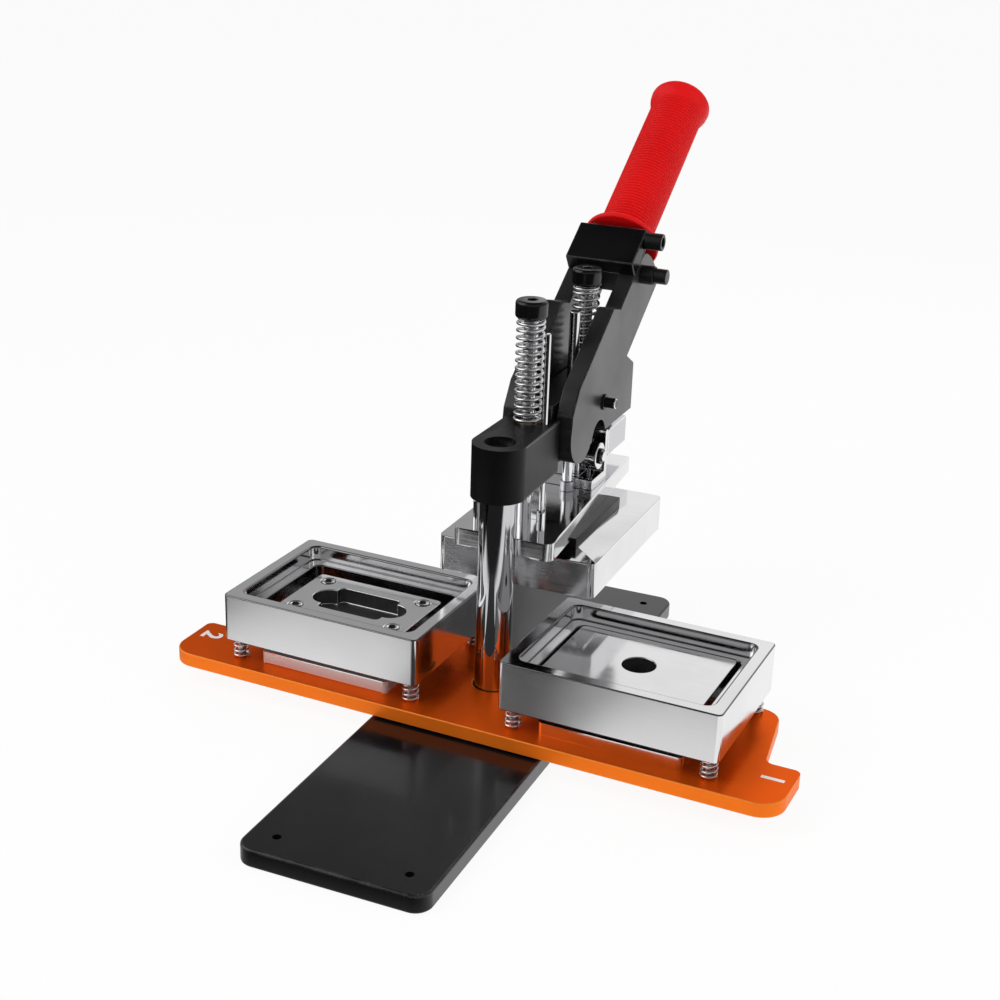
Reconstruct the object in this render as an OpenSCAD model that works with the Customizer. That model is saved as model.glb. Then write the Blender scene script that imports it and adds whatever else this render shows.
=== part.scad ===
// Rotary badge press. A turntable carries two lower dies past a ram, and a hand lever drives the ram down.
// Millimetres, +Z up. The column's axis is X = Y = 0, the base's underside is Z = 0, the ram is at +Y.

/* [Base and column] */
// Width of the base plate
base_w = 100; // [90:1:130]
// Reach of the base in front of the column
base_front = 188; // [180:1:220]
// Reach of the base behind the column
base_back = 172; // [165:1:200]
// Thickness of the base plate
base_t = 10; // [9:0.5:16]
// Corner radius of the base plate
base_corner_r = 9; // [3:0.5:14]
// Diameter of the bench screw holes
base_hole_d = 4.5; // [3:0.1:6]
// Distance of the bench screw holes from the base's sides and ends
base_hole_inset = 15; // [8:0.5:22]
// Diameter of the column
column_d = 20; // [16:0.5:24]
// Thread diameter of the bolts at the column's two ends
column_bolt_d = 8; // [6:0.5:10]
// Head diameter of the column bolts
column_bolt_head_d = 13; // [12:0.5:14]
// Head height of the column bolts
column_bolt_head_h = 5; // [4:0.5:6]
// Depth of the column bolts in the column
column_bolt_grip = 20; // [14:0.5:26]

/* [Turntable] */
// Thickness of the turntable plate
table_t = 8; // [7.5:0.5:12]
// Reach of the plate's tabs past the rings' ends
tab_reach = 34; // [30:0.5:44]
// Reach of the plate's front edge past the rings
table_front_over = 5.5; // [2:0.5:12]
// Distance of the plate's back edge inside the rings' backs
table_back_in = 1.5; // [0:0.5:2]
// Width of a tab along the plate's end
tab_w = 40.5; // [30:0.5:44]
// How far a tab stands out past the plate's end
tab_l = 20; // [14:0.5:24]
// Front corner radius of a tab
tab_corner_r = 14; // [6:0.5:18]
// Back corner radius of a tab
tab_back_r = 4; // [2:0.5:8]
// Inner corner radius beside a tab
tab_fillet_r = 5; // [2:0.5:8]
// Lean of the plate's end edges
end_lean = 7; // [0:0.5:12]
// Back corner radius of the plate
table_corner_r = 12; // [4:0.5:16]
// Turn of the turntable as it stands
rest_turn = -2; // [-6:0.5:6]
// Wall of the turntable bush
bush_wall = 2; // [1.5:0.5:4]
// Lip of the plate above the bush
bush_lip = 2; // [1:0.5:3]
// Thickness of the thrust washer under the plate
washer_t = 1; // [0.5:0.1:2]
// Width of the thrust washer's ring
washer_w = 8; // [4:0.5:12]

/* [Lower dies] */
// Distance of the die centres from the column
die_r = 84.5; // [80:0.5:90]
// Length of a floating ring
ring_l = 121; // [116:0.5:126]
// Width of a floating ring
ring_w = 92; // [90:0.5:94]
// Height of a floating ring
ring_h = 27.5; // [24:0.5:32]
// Corner radius of a floating ring
ring_corner_r = 3; // [1:0.5:6]
// Corner radius inside a floating ring
ring_inner_r = 5; // [3:0.5:8]
// Width of a ring's rim
ring_rim = 7.5; // [6:0.5:9]
// Width of the ledge inside a ring
ring_ledge = 6; // [5:0.5:7]
// Depth of the ledge below the rim
ring_recess = 8.5; // [6:0.5:12]
// Height of a ring above the plate
ring_lift = 12; // [10:0.5:16]
// Spring travel of a ring
ring_travel = 4.5; // [3:0.5:5]
// Distance of a pedestal's ends inside the ring's ends
pedestal_end_in = 20.5; // [18:0.5:24]
// Distance of a pedestal's sides inside the ring's sides
pedestal_side_in = 6; // [5:0.5:14]
// Gap between the flat punch and the ring at the punch's ends
punch_end_gap = 2.5; // [1:0.1:8]
// Gap between the flat punch and the ring at the punch's sides
punch_side_gap = 2; // [1:0.1:8]
// Depth of the flat punch below the rim
punch_drop = 7.5; // [5:0.5:12]
// Diameter of the punch's middle hole
punch_hole_d = 18; // [10:0.5:24]
// Depth of the punch's middle hole
punch_hole_depth = 12; // [6:0.5:16]
// Gap between the recessed core and the ring
core_gap = 7; // [2:0.1:8]
// Depth of the core below the rim
core_drop = 10.5; // [6:0.5:14]
// Length of the core's recess
core_slot_l = 58; // [50:0.5:60]
// Width of the recess at its round ends
core_slot_w = 18; // [10:0.5:20]
// Length of the recess's wide middle
core_mid_l = 39; // [30:0.5:42]
// Width of the recess's wide middle
core_mid_w = 28; // [22:0.5:28]
// Corner radius of the recess's wide middle
core_mid_r = 3; // [1:0.5:6]
// Depth of the core's recess
core_slot_depth = 9; // [3:0.5:10]
// Distance of the core screws from the core's ends
core_screw_end = 9; // [8:0.5:12]
// Distance of the core screws from the core's sides
core_screw_side = 7.5; // [7:0.5:9]
// Length of the core screws
core_screw_l = 26; // [24:0.5:27]
// Thread diameter of the countersunk screws
flat_screw_d = 4; // [3:0.5:5]
// Head diameter of the countersunk screws
flat_screw_head_d = 9; // [8:0.5:9]
// Distance of the ring screws from the rings' ends
ring_screw_end = 6.5; // [5.5:0.5:9]
// Distance of the ring screws from the rings' sides
ring_screw_side = 7.5; // [6.5:0.5:8.5]
// Diameter of the ring screws
ring_screw_d = 5; // [4:0.5:5.5]
// Head diameter of the ring screws
ring_screw_head_d = 8; // [7:0.5:8.5]
// Head height of the ring screws
ring_screw_head_h = 1.8; // [1:0.1:2]
// Grip of the ring screws in the rings
ring_screw_grip = 10; // [6:0.5:14]
// Outer diameter of the ring springs
ring_spring_d = 9.2; // [8.5:0.1:11]
// Wire diameter of the ring springs
ring_spring_wire = 1.3; // [0.8:0.1:1.5]
// Turns of a ring spring
ring_spring_turns = 4.5; // [3:0.5:5]
// Distance of the pedestal screws from the pedestals' ends
pedestal_screw_end = 14; // [12:0.5:15]
// Distance of the pedestal screws from the pedestals' sides
pedestal_screw_side = 20; // [18:0.5:22]
// Length of the pedestal screws
pedestal_screw_len = 24; // [18:0.5:28]

/* [Ram] */
// Travel of the ram
ram_stroke = 8.5; // [6:0.5:10]
// Gap left between the closed dies
die_gap = 0.5; // [0.4:0.1:2]
// Width of the upper die
upper_die_w = 93; // [84:0.5:100]
// Length of the upper die
upper_die_l = 117; // [110:0.5:118]
// Height of the upper die
upper_die_h = 20.5; // [18:0.5:26]
// Edge radius of the upper die
upper_die_corner_r = 4; // [1:0.5:6]
// Wall of the upper die around its punch
upper_punch_inset = 7; // [5:0.5:10]
// Depth of the pocket that holds the upper punch
upper_punch_pocket = 10; // [6:0.5:12]
// Stand of the upper punch below the die
upper_punch_stand = 1; // [0.5:0.5:3]
// Distance of the upper punch's screws from its edges
upper_screw_inset = 9; // [7:0.5:12]
// Length of the upper punch's screws
upper_screw_l = 16; // [14:0.5:18]
// Width of the spacer over the upper die
spacer_w = 59; // [55:1:60]
// Reach of the spacer behind the roller pin
spacer_back = 11.5; // [11:0.5:12]
// Length of the spacer
spacer_l = 72; // [70:1:76]
// Height of the spacer
spacer_t = 6; // [4:0.5:10]
// Distance of the ram screws from the spacer's sides
ram_screw_inset = 11.5; // [10.5:0.5:12.5]
// Distance of the ram screws from the spacer's ends
ram_screw_end = 11; // [10.5:0.5:11.5]
// Thread diameter of the ram screws
ram_screw_d = 5; // [4:0.5:5.5]
// Head diameter of the ram screws
ram_screw_head_d = 8.5; // [8:0.5:9]
// Head height of the ram screws
ram_screw_head_h = 5; // [4:0.5:6]
// Thickness of the ram plate
ram_t = 10; // [9:0.5:12]
// Start of the ram plate behind the column
ram_y = 5; // [2:0.5:8]
// Width of the ram plate at its front
ram_front_w = 59; // [56:0.5:64]
// Width of the ram plate at its back
ram_back_w = 39; // [34:0.5:46]
// Front corner radius of the ram plate
ram_corner_r = 5; // [2:0.5:8]
// Depth of the threads in the ram plate
ram_thread = 8; // [5:0.5:8]
// Distance of the locating pins from the middle
locating_x = 19; // [17:0.5:22]
// Distance of the locating pins behind the column
locating_y = 15; // [12:0.5:20]
// Diameter of the locating pins
locating_d = 3.6; // [3:0.1:5]
// Height of the locating pins above the ram plate
locating_h = 14; // [8:0.5:18]
// Diameter of the rear guide post
rear_post_d = 9; // [7:0.5:10]
// Distance of the rear guide post from the ram plate's back
rear_post_inset = 8.5; // [7.5:0.5:9.5]
// Width of the rear guide block
rear_block_w = 30; // [26:0.5:34]
// Start of the rear guide block behind the rear spring post
rear_block_behind = 10; // [9.5:0.5:12]
// Reach of the rear guide block in front of its post
rear_block_front = 20; // [19:0.5:21]
// Length of the rear guide block
rear_block_l = 31; // [28:0.5:36]
// Height of the rear guide block
rear_block_h = 16.5; // [14:0.5:18]
// Thread diameter of the rear block's screws
rear_screw_d = 4; // [3:0.5:5]
// Head diameter of the rear block's screws
rear_screw_head_d = 7; // [6:0.5:8]
// Head height of the rear block's screws
rear_screw_head_h = 4; // [3:0.5:5]
// Distance of the rear block's screws from the middle
rear_screw_x = 6; // [5:0.5:6.5]
// Distance of the rear block's screws from its front
rear_screw_y = 8; // [6:0.5:9]
// Depth of the rear block's screws in the head
rear_screw_grip = 12; // [8:0.5:14]

/* [Head] */
// Gap between the ram plate and the head
head_gap = 25; // [23:0.5:30]
// Wall of the boss around the column
boss_wall = 5; // [4:0.5:8]
// Height of the boss and the arm
arm_h = 30; // [30:0.5:36]
// Width of the arm
arm_w = 30; // [29:0.5:34]
// Back of the arm behind the column
arm_back = 48; // [46.5:0.5:48.5]
// Width of the tongue behind the arm
tongue_w = 20; // [19:0.5:22]
// Height of the tongue
tongue_h = 37; // [36:0.5:42]
// Reach of the tongue behind the start of the rear guide block
tongue_over = 20; // [18:0.5:24]
// Depth of the column's seat in the boss
column_seat = 16; // [12:0.5:18]
// Diameter of the bolt recess in the boss
boss_hole_d = 17; // [15:0.5:20]
// Depth of the bolt recess in the boss
boss_hole_depth = 9; // [7:0.5:10]
// Wall of the bushes in the head
head_bush_wall = 2; // [1:0.5:2.5]
// Diameter of the spring posts
post_d = 8; // [6:0.5:9]
// Distance of the front spring post from the arm's back
post_front_inset = 11; // [9.5:0.5:12]
// Distance of the rear spring post behind the fulcrum
post_rear_behind = 18.7; // [18:0.1:20]
// Height of the posts' caps above the arm
post_rise = 68; // [62:1:70]
// Diameter of the posts' caps
cap_d = 17.6; // [16:0.1:18]
// Height of the posts' caps
cap_h = 10; // [8:0.5:12]
// Width of the sockets in the posts' caps
cap_socket_d = 6; // [4:0.5:7]
// Depth of the sockets in the posts' caps
cap_socket_depth = 3; // [2:0.5:4]
// Outer diameter of the return springs
return_spring_d = 16; // [14:0.5:17]
// Wire diameter of the return springs
return_spring_wire = 1.8; // [1.2:0.1:2]
// Rise of the return springs in one turn
return_spring_pitch = 4.1; // [3.5:0.1:6]
// Diameter of the front guide rod
rod_front_d = 3; // [2.5:0.1:4]
// Diameter of the rear guide rod
rod_rear_d = 6; // [4:0.1:6]
// Distance of the front guide rod from the middle
rod_front_x = 10.5; // [10.5:0.5:12]
// Distance of the front guide rod from the arm's back
rod_front_inset = 12; // [10:0.5:14]
// Distance of the rear guide rod from the middle
rod_rear_x = 6.2; // [5.5:0.1:6.2]
// Distance of the rear guide rod in front of the fulcrum
rod_rear_ahead = 14.8; // [14:0.1:16]
// Height of the guide rods above the arm
rod_rise = 51; // [40:1:54]
// Wall of the guide rods' collars
rod_collar_wall = 1; // [0.8:0.1:1.2]
// Height of the guide rods' collars
rod_collar_h = 6; // [3:0.5:8]

/* [Lever] */
// Gap between the arm and the lever's toes
toe_gap = 2.3; // [2:0.1:3]
// Height of the fulcrum above the head's underside
fulcrum_h = 26.2; // [25:0.1:27]
// Diameter of the fulcrum pin
fulcrum_d = 8; // [6:0.5:8.5]
// Diameter of the fulcrum pin's free end
fulcrum_end_d = 6; // [4:0.5:6]
// Reach of the fulcrum pin past the right bar
fulcrum_end_l = 7.5; // [6:0.5:14]
// Head diameter of the fulcrum pin
fulcrum_head_d = 13; // [11:0.5:16]
// Head height of the fulcrum pin
fulcrum_head_h = 3; // [2:0.5:6]
// Thickness of the clips
clip_t = 1.2; // [0.8:0.1:1.6]
// Width of the clips' rings
clip_w = 1.6; // [1.5:0.1:3]
// Lean of the lever above level
lever_lean = 34.4; // [33:0.1:36]
// Forward swing of the lever that drives the ram home
lever_turn = 40; // [35:1:42]
// Thickness of a lever bar
bar_t = 10; // [8:0.5:12]
// Reach of the toe in front of the fulcrum
toe_reach = 33; // [32:0.5:33.5]
// Drop of the toe's centre below the fulcrum
toe_drop = 8; // [7:0.5:9]
// Radius of the toe
toe_r = 18; // [17:0.5:18.5]
// Reach of the brow in front of the fulcrum
brow_reach = 49.8; // [48:0.1:51]
// Height of the brow above the fulcrum
brow_rise = 5.1; // [3:0.1:8]
// Front edge of the neck, across the lever
neck_front = 38.5; // [36:0.5:39]
// Back edge of the neck, across the lever
neck_back = 6.5; // [5:0.5:8]
// Foot of the neck's front edge, along the lever
neck_foot = -23.2; // [-26:0.1:-20]
// Step in the neck's front edge, along the lever
step_at = 37; // [32:0.5:42]
// Depth of the step
step_in = 9; // [7:0.5:11]
// Run of the step's slope
step_run = 8; // [6:0.5:10]
// Shoulder of the heel, along the lever
shoulder_at = 41; // [40:0.5:44]
// Reach of the heel behind the fulcrum
heel_reach = 50; // [47:0.5:54]
// Drop of the heel below the fulcrum
heel_drop = 18.2; // [17:0.1:18.5]
// Height of the heel above the fulcrum
heel_rise = 10.7; // [8:0.1:13]
// Distance of the underside's hollow in front of the fulcrum
hollow_ahead = 6.3; // [5:0.1:8]
// Drop of the hollow's centre below the fulcrum
hollow_drop = 20.2; // [20:0.1:22]
// Radius of the hollow
hollow_r = 11; // [9:0.5:11]
// End of the bars, along the lever
bar_end = 102.5; // [99:0.5:102.5]
// Start of the bars' rounded end, along the lever
bar_end_from = 86; // [84:0.5:90]
// Start of the fork's front plate, along the lever
fork_from = 70.7; // [68:0.1:73]
// Length of the fork's front plate
fork_l = 28; // [26:0.5:30]
// Thickness of the fork's front plate
fork_t = 10; // [10:0.5:13]
// Start of the fork's web between the bars, along the lever
web_from = 75; // [74:0.5:75.5]
// Back of the fork's web, across the lever
web_back = 9; // [7:0.5:10]
// Place of the fork bolt, along the lever
fork_bolt_at = 81; // [80:0.5:81.5]
// Diameter of the fork bolt
fork_bolt_d = 9; // [6:0.5:9]
// Reach of the fork bolt past its nut
fork_bolt_reach = 7.5; // [1:0.5:9]
// Diameter of the fork bolt's head and nut
fork_nut_d = 11; // [10.5:0.5:14]
// Height of the fork bolt's head
fork_head_h = 2.5; // [1.5:0.5:6]
// Height of the fork bolt's nut
fork_nut_h = 8; // [5:0.5:10]
// Place of the clamp screw, along the lever
clamp_at = 94.5; // [88:0.5:95]
// Diameter of the clamp screw
clamp_d = 5; // [4:0.5:5.5]
// Head diameter of the clamp screw
clamp_head_d = 10; // [8:0.5:10]
// Head height of the clamp screw
clamp_head_h = 10.5; // [6:0.5:12]
// Reach of the clamp screw into the fork
clamp_l = 30; // [20:1:36]
// Axis of the handle, across the lever
handle_across = 20.5; // [20:0.5:21]
// Diameter of the handle rod
handle_d = 16; // [14:0.5:17]
// Start of the handle rod, along the lever
handle_from = 87; // [86.5:0.5:90]
// Start of the grip, along the lever
grip_from = 103; // [103:0.5:108]
// Length of the grip
grip_l = 125; // [100:1:130]
// Diameter of the grip over its ribs
grip_d = 33; // [28:0.5:38]
// Depth of the grooves between the ribs
grip_groove = 1.4; // [0.5:0.1:2]
// Number of ribs
grip_ribs = 28; // [16:1:36]
// Diameter of the grip's flange
grip_flange_d = 46; // [40:1:50]
// Thickness of the grip's flange
grip_flange_t = 3.5; // [3:0.5:8]
// Diameter of the grip's end
grip_end_d = 38; // [34:0.5:42]
// Length of the grip's flared end
grip_end_l = 12; // [10:0.5:16]
// Wall over the handle rod's end
grip_end_wall = 6; // [4:0.5:8]

/* [Rollers] */
// Diameter of a roller
roller_d = 16; // [14:0.5:16]
// Width of a roller
roller_w = 9; // [7:0.5:9.5]
// Diameter of the roller pin
roller_pin_d = 6; // [5:0.5:7]
// Distance of the roller pin behind the fulcrum
roller_behind = 1.7; // [1:0.1:2.5]
// Length of the riser's foot in front of the roller pin
riser_front = 12; // [11:0.5:12.5]
// Length of the riser's foot behind the roller pin
riser_back = 12; // [11:0.5:12]
// Thickness of the riser's foot
riser_foot_t = 6; // [4:0.5:7]
// Length of the riser's web on each side of the pin
riser_web = 9; // [7:0.5:10.5]
// Rise of the riser's rear cheeks above the roller pin
cheek_rise = 13; // [6:0.5:13.5]
// Distance of the riser screws from the foot's edges
riser_screw_inset = 4.5; // [4:0.5:5]
// Thread diameter of the riser screws
riser_screw_d = 4; // [3:0.5:4.5]
// Head diameter of the riser screws
riser_screw_head_d = 6.5; // [6:0.5:7]
// Head height of the riser screws
riser_screw_head_h = 4; // [3:0.5:5]

/* [Clearances] */
// Radial clearance of a shaft that turns or slides in its bore
run_clear = 0.05; // [0.02:0.01:0.09]
// Height of the running gap under the turntable
thrust_gap = 0.05; // [0.02:0.01:0.3]
// Gap between faces that pass each other
pass_gap = 0.5; // [0.3:0.1:0.6]
// Gap at the stop of the ring screws
stop_gap = 0.1; // [0.05:0.05:0.2]
// Radial gap around screw heads and screw shanks
screw_clear = 0.2; // [0.1:0.05:0.4]
// Gap around the column where the ram plate passes it
column_pass = 0.8; // [0.4:0.1:1.5]
// Gap between the lever bars and the tongue
bar_gap = 0.7; // [0.4:0.1:1]
// Gap between the toe and the roller at the end of the stroke
roller_gap = 0.3; // [0.3:0.1:1]

/* [Hidden] */
$fn = 64;

// Overshoot of cutting shapes past the faces they cut
cut = 1;

// Heights from the base upwards
z_table = base_t + washer_t + thrust_gap;
z_top = z_table + table_t;
z_ring = z_top + ring_lift;
z_rim = z_ring + ring_h;
z_upper_punch = z_rim + ram_stroke + die_gap;
z_upper_die = z_upper_punch + upper_punch_stand;
z_spacer = z_upper_die + upper_die_h;
z_ram = z_spacer + spacer_t;
z_ram_top = z_ram + ram_t;
z_head = z_ram_top + head_gap;
z_arm = z_head + arm_h;
z_tongue = z_head + tongue_h;
z_cap = z_arm + post_rise;
z_rod_top = z_arm + rod_rise;
z_column_top = z_head + column_seat;

// Heads and sockets of screws
socket_share = 0.6;
flat_head_h = (flat_screw_head_d - flat_screw_d) / 2;

// Column, turntable and boss
column_r = column_d / 2;
bush_r = column_r + run_clear + bush_wall;
boss_r = column_r + boss_wall;
table_front = ring_w / 2 + table_front_over;
table_back = ring_w / 2 - table_back_in;
tab_back = tab_w - table_front;
table_reach = die_r + ring_l / 2 + tab_reach;
table_end = table_reach - tab_l;
post_bush_d = post_d + 2 * (run_clear + head_bush_wall);
fulcrum_bush_d = fulcrum_d + 2 * (run_clear + head_bush_wall);

// Rings, pedestals and screws of the lower dies
pedestal_t = ring_lift - ring_travel - pass_gap;
ring_open_l = ring_l - 2 * (ring_rim + ring_ledge);
ring_open_w = ring_w - 2 * (ring_rim + ring_ledge);
punch_l = ring_open_l - 2 * punch_end_gap;
punch_w = ring_open_w - 2 * punch_side_gap;
core_l = ring_open_l - 2 * core_gap;
core_w = ring_open_w - 2 * core_gap;
pedestal_l = ring_l - 2 * pedestal_end_in;
pedestal_w = ring_w - 2 * pedestal_side_in;
pedestal_screw_x = pedestal_l / 2 - pedestal_screw_end;
pedestal_screw_y = pedestal_w / 2 - pedestal_screw_side;
ring_screw_x = ring_l / 2 - ring_screw_end;
ring_screw_y = ring_w / 2 - ring_screw_side;
z_ring_screw = z_table + ring_travel + pass_gap - thrust_gap;
z_pedestal = z_top + pedestal_t;
z_core = z_rim - core_drop;
z_punch = z_rim - punch_drop;
core_screw_x = core_l / 2 - core_screw_end;
core_screw_y = core_w / 2 - core_screw_side;

// Upper die
press_y = die_r;
z_pocket = z_upper_die + upper_punch_pocket;
upper_punch_w = upper_die_w - 2 * upper_punch_inset;
upper_punch_l = upper_die_l - 2 * upper_punch_inset;

// Places behind the column, one after the other
post_front_y = arm_back - post_front_inset;
rod_front_y = arm_back - rod_front_inset;
fulcrum_y = arm_back + toe_gap + toe_r + toe_reach;
rod_rear_y = fulcrum_y - rod_rear_ahead;
rods = [[rod_front_x, rod_front_y, rod_front_d], [rod_rear_x, rod_rear_y, rod_rear_d]];
roller_y = fulcrum_y + roller_behind;
spacer_y = roller_y + spacer_back - spacer_l;
post_rear_y = fulcrum_y + post_rear_behind;
rear_block_y = post_rear_y + rear_block_behind;
tongue_back = rear_block_y + tongue_over;
rear_post_y = rear_block_y + rear_block_front;
ram_back = rear_post_y + rear_post_inset;
ram_lean = atan((ram_front_w - ram_back_w) / 2 / (ram_back - ram_y));
ram_corner_x = ram_front_w / 2 - ram_corner_r * (1 + sin(ram_lean)) / cos(ram_lean);

// Lever places: along is u, across is v, both measured from the fulcrum
z_fulcrum = z_head + fulcrum_h;
bar_in = tongue_w / 2 + bar_gap;
bar_out = bar_in + bar_t;
tang_front = neck_front - step_in;
// Where the bars' outline meets the round toe, inside its edge
toe_root = 0.95 * toe_r;
fork_front = tang_front + fork_t;
fork_to = fork_from + fork_l;
clamp_across = tang_front + fork_t / 2;
handle_to = grip_from + grip_l - grip_end_wall;
rib_pitch = (grip_l - grip_end_l - grip_flange_t) / grip_ribs;
// Share of the rib pitch from one rib's start to its end
rib_share = 0.9;
// Chamfer at the grip's end
grip_end_cut = 1;
function lever_point(u, v) =
    [u * cos(lever_lean) - v * sin(lever_lean), u * sin(lever_lean) + v * cos(lever_lean)];

// The roller stands where the toe just reaches it, less the gap, when the ram is home
toe_swing = norm([toe_reach, toe_drop]);
toe_angle = atan2(toe_drop, toe_reach) + lever_turn;
toe_home = [-toe_swing * cos(toe_angle), -toe_swing * sin(toe_angle)];
contact = toe_r + roller_d / 2 + roller_gap;
roller_rise = sqrt(contact * contact - pow(roller_behind - toe_home[0], 2));
z_roller = z_fulcrum + toe_home[1] - roller_rise + ram_stroke;
roller_in = tongue_w / 2 + bar_gap + run_clear;
roller_out = roller_in + roller_w;
riser_half = roller_out;
clip_gap = run_clear;

// Points on an arc from angle a to angle b
function arc(c, r, a, b, n = 12) =
    [for (i = [0:n]) c + r * [cos(a + (b - a) * i / n), sin(a + (b - a) * i / n)]];

// Flat shape with round corners, centred
module round_rect(l, w, r) {
    square([l - 2 * r, w], center = true);
    square([l, w - 2 * r], center = true);
    for (x = [-1, 1], y = [-1, 1])
        translate([x * (l / 2 - r), y * (w / 2 - r)]) circle(r = r);
}

// Block with round upright edges, centred, standing on Z = 0
module round_block(l, w, h, r) {
    linear_extrude(h) round_rect(l, w, r);
}

// Cap screw with its head above Z = 0, its shank below and a socket in the head
module cap_screw(d, l, head_d, head_h) {
    difference() {
        union() {
            translate([0, 0, -l]) cylinder(d = d, h = l + head_h / 2);
            cylinder(d = head_d, h = head_h);
        }
        translate([0, 0, head_h / 2]) cylinder(d = socket_share * head_d, h = head_h, $fn = 6);
    }
}

// Countersunk screw with its flat face at Z = 0 and its shank below
module flat_screw(l) {
    difference() {
        flat_screw_hole(l, 0);
        translate([0, 0, -flat_head_h / 2])
            cylinder(d = socket_share * flat_screw_d, h = flat_head_h, $fn = 6);
    }
}

// Room for a countersunk screw
module flat_screw_hole(l, gap) {
    translate([0, 0, -l]) cylinder(d = flat_screw_d + 2 * gap, h = l);
    translate([0, 0, -flat_head_h])
        cylinder(d1 = flat_screw_d + 2 * gap, d2 = flat_screw_head_d + 2 * gap, h = flat_head_h);
}

// Coil spring on Z = 0, swept along a helix
module coil(d, wire, h, turns, sides = 6, steps = 14) {
    n = round(turns * steps);
    mean_r = (d - wire) / 2;
    ring = [for (i = [0:n], j = [0:sides - 1])
        let (a = 360 * turns * i / n, b = 360 * j / sides, r = mean_r + wire / 2 * cos(b))
        [r * cos(a), r * sin(a), wire / 2 + (h - wire) * i / n + wire / 2 * sin(b)]];
    skin = [for (i = [0:n - 1], j = [0:sides - 1])
        let (k = (j + 1) % sides)
        [i * sides + j, i * sides + k, (i + 1) * sides + k, (i + 1) * sides + j]];
    first = [for (j = [sides - 1:-1:0]) j];
    last = [for (j = [0:sides - 1]) n * sides + j];
    polyhedron(ring, concat(skin, [first, last]), convexity = 8);
}

// Flat shape in the Y-Z plane, made solid from x0 to x1
module across(x0, x1) {
    translate([x0, 0, 0]) rotate([90, 0, 90]) linear_extrude(x1 - x0) children();
}

// Round bar along X
module bar_x(x0, x1, d) {
    translate([x0, 0, 0]) rotate([0, 90, 0]) cylinder(d = d, h = x1 - x0);
}

// Places
module at_die(side) {
    rotate([0, 0, rest_turn]) translate([side * die_r, 0, 0]) children();
}
module at_corners(x, y) {
    for (i = [-1, 1], j = [-1, 1]) translate([i * x, j * y, 0]) children();
}
module at_fulcrum() {
    translate([0, fulcrum_y, z_fulcrum]) children();
}
module at_lever() {
    at_fulcrum() rotate([lever_lean, 0, 0]) children();
}
module at_roller() {
    translate([0, roller_y, z_roller]) children();
}
module at_posts() {
    for (y = [post_front_y, post_rear_y]) translate([0, y, 0]) children();
}

// Round bars at the guide rods' places, each thicker than its rod by a wall all round
module rod_bars(z, h, wall) {
    for (p = rods) translate([p[0], p[1], z]) cylinder(d = p[2] + 2 * wall, h = h);
}

// Base and column
module base_plate() color([0.05, 0.05, 0.05]) difference() {
    translate([0, (base_back - base_front) / 2, 0])
        round_block(base_w, base_front + base_back, base_t, base_corner_r);
    for (x = [-1, 1], y = [base_hole_inset - base_front, base_back - base_hole_inset])
        translate([x * (base_w / 2 - base_hole_inset), y, -cut])
            cylinder(d = base_hole_d, h = base_t + 2 * cut);
    translate([0, 0, -cut]) cylinder(d = column_bolt_d + 2 * screw_clear, h = base_t + 2 * cut);
    translate([0, 0, -cut])
        cylinder(d = column_bolt_head_d + 2 * screw_clear, h = column_bolt_head_h + pass_gap + cut);
}

module front_column() color([0.8, 0.8, 0.82]) difference() {
    translate([0, 0, base_t]) cylinder(d = column_d, h = z_column_top - base_t);
    for (z = [base_t, z_column_top])
        translate([0, 0, z])
            cylinder(d = column_bolt_d, h = 2 * (column_bolt_grip + pass_gap), center = true);
}

module column_bolt() color([0.2, 0.2, 0.2])
    translate([0, 0, column_bolt_head_h + pass_gap]) mirror([0, 0, 1])
        cap_screw(column_bolt_d, base_t + column_bolt_grip - column_bolt_head_h - pass_gap,
            column_bolt_head_d, column_bolt_head_h);

module thrust_washer() color([0.75, 0.6, 0.3]) translate([0, 0, base_t]) difference() {
    cylinder(r = bush_r + washer_w, h = washer_t);
    translate([0, 0, -cut]) cylinder(r = column_r + run_clear, h = washer_t + 2 * cut);
}

// Turntable
function table_side() =
    let (back_x = table_end - (table_back - tab_back) * tan(end_lean),
        corner_x = back_x - table_corner_r * (1 - sin(end_lean)) / cos(end_lean))
    concat(
        arc([table_reach - tab_corner_r, tab_corner_r - table_front], tab_corner_r, -90, 0),
        arc([table_reach - tab_back_r, tab_back - tab_back_r], tab_back_r, 0, 90),
        arc([table_end + tab_fillet_r, tab_back + tab_fillet_r], tab_fillet_r, 270, 180 + end_lean),
        arc([corner_x, table_back - table_corner_r], table_corner_r, end_lean, 90));

// The same points on the other side, in the order that closes the outline
function other_side(points) = [for (i = [len(points) - 1:-1:0]) [-points[i][0], points[i][1]]];

module turntable_plate() color([0.85, 0.4, 0.1]) rotate([0, 0, rest_turn]) difference() {
    translate([0, 0, z_table]) linear_extrude(table_t)
        polygon(concat(table_side(), other_side(table_side())));
    translate([0, 0, z_table - cut]) cylinder(r = bush_r, h = table_t - bush_lip + cut);
    translate([0, 0, z_table]) cylinder(r = column_r + run_clear + column_pass, h = table_t + cut);
    for (side = [-1, 1]) translate([side * die_r, 0, 0]) {
        at_corners(ring_screw_x, ring_screw_y) {
            translate([0, 0, z_table]) cylinder(r = ring_screw_d / 2 + run_clear, h = table_t + cut);
            translate([0, 0, z_table - cut])
                cylinder(d = ring_screw_head_d + 2 * screw_clear,
                    h = z_ring_screw + ring_screw_head_h - z_table + cut);
        }
        at_corners(pedestal_screw_x, pedestal_screw_y) translate([0, 0, z_table]) mirror([0, 0, 1])
            flat_screw_hole(table_t + cut, screw_clear);
    }
}

module turntable_bush() color([0.7, 0.5, 0.2]) translate([0, 0, z_table]) difference() {
    cylinder(r = bush_r, h = table_t - bush_lip);
    translate([0, 0, -cut]) cylinder(r = column_r + run_clear, h = table_t + cut);
}

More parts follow.
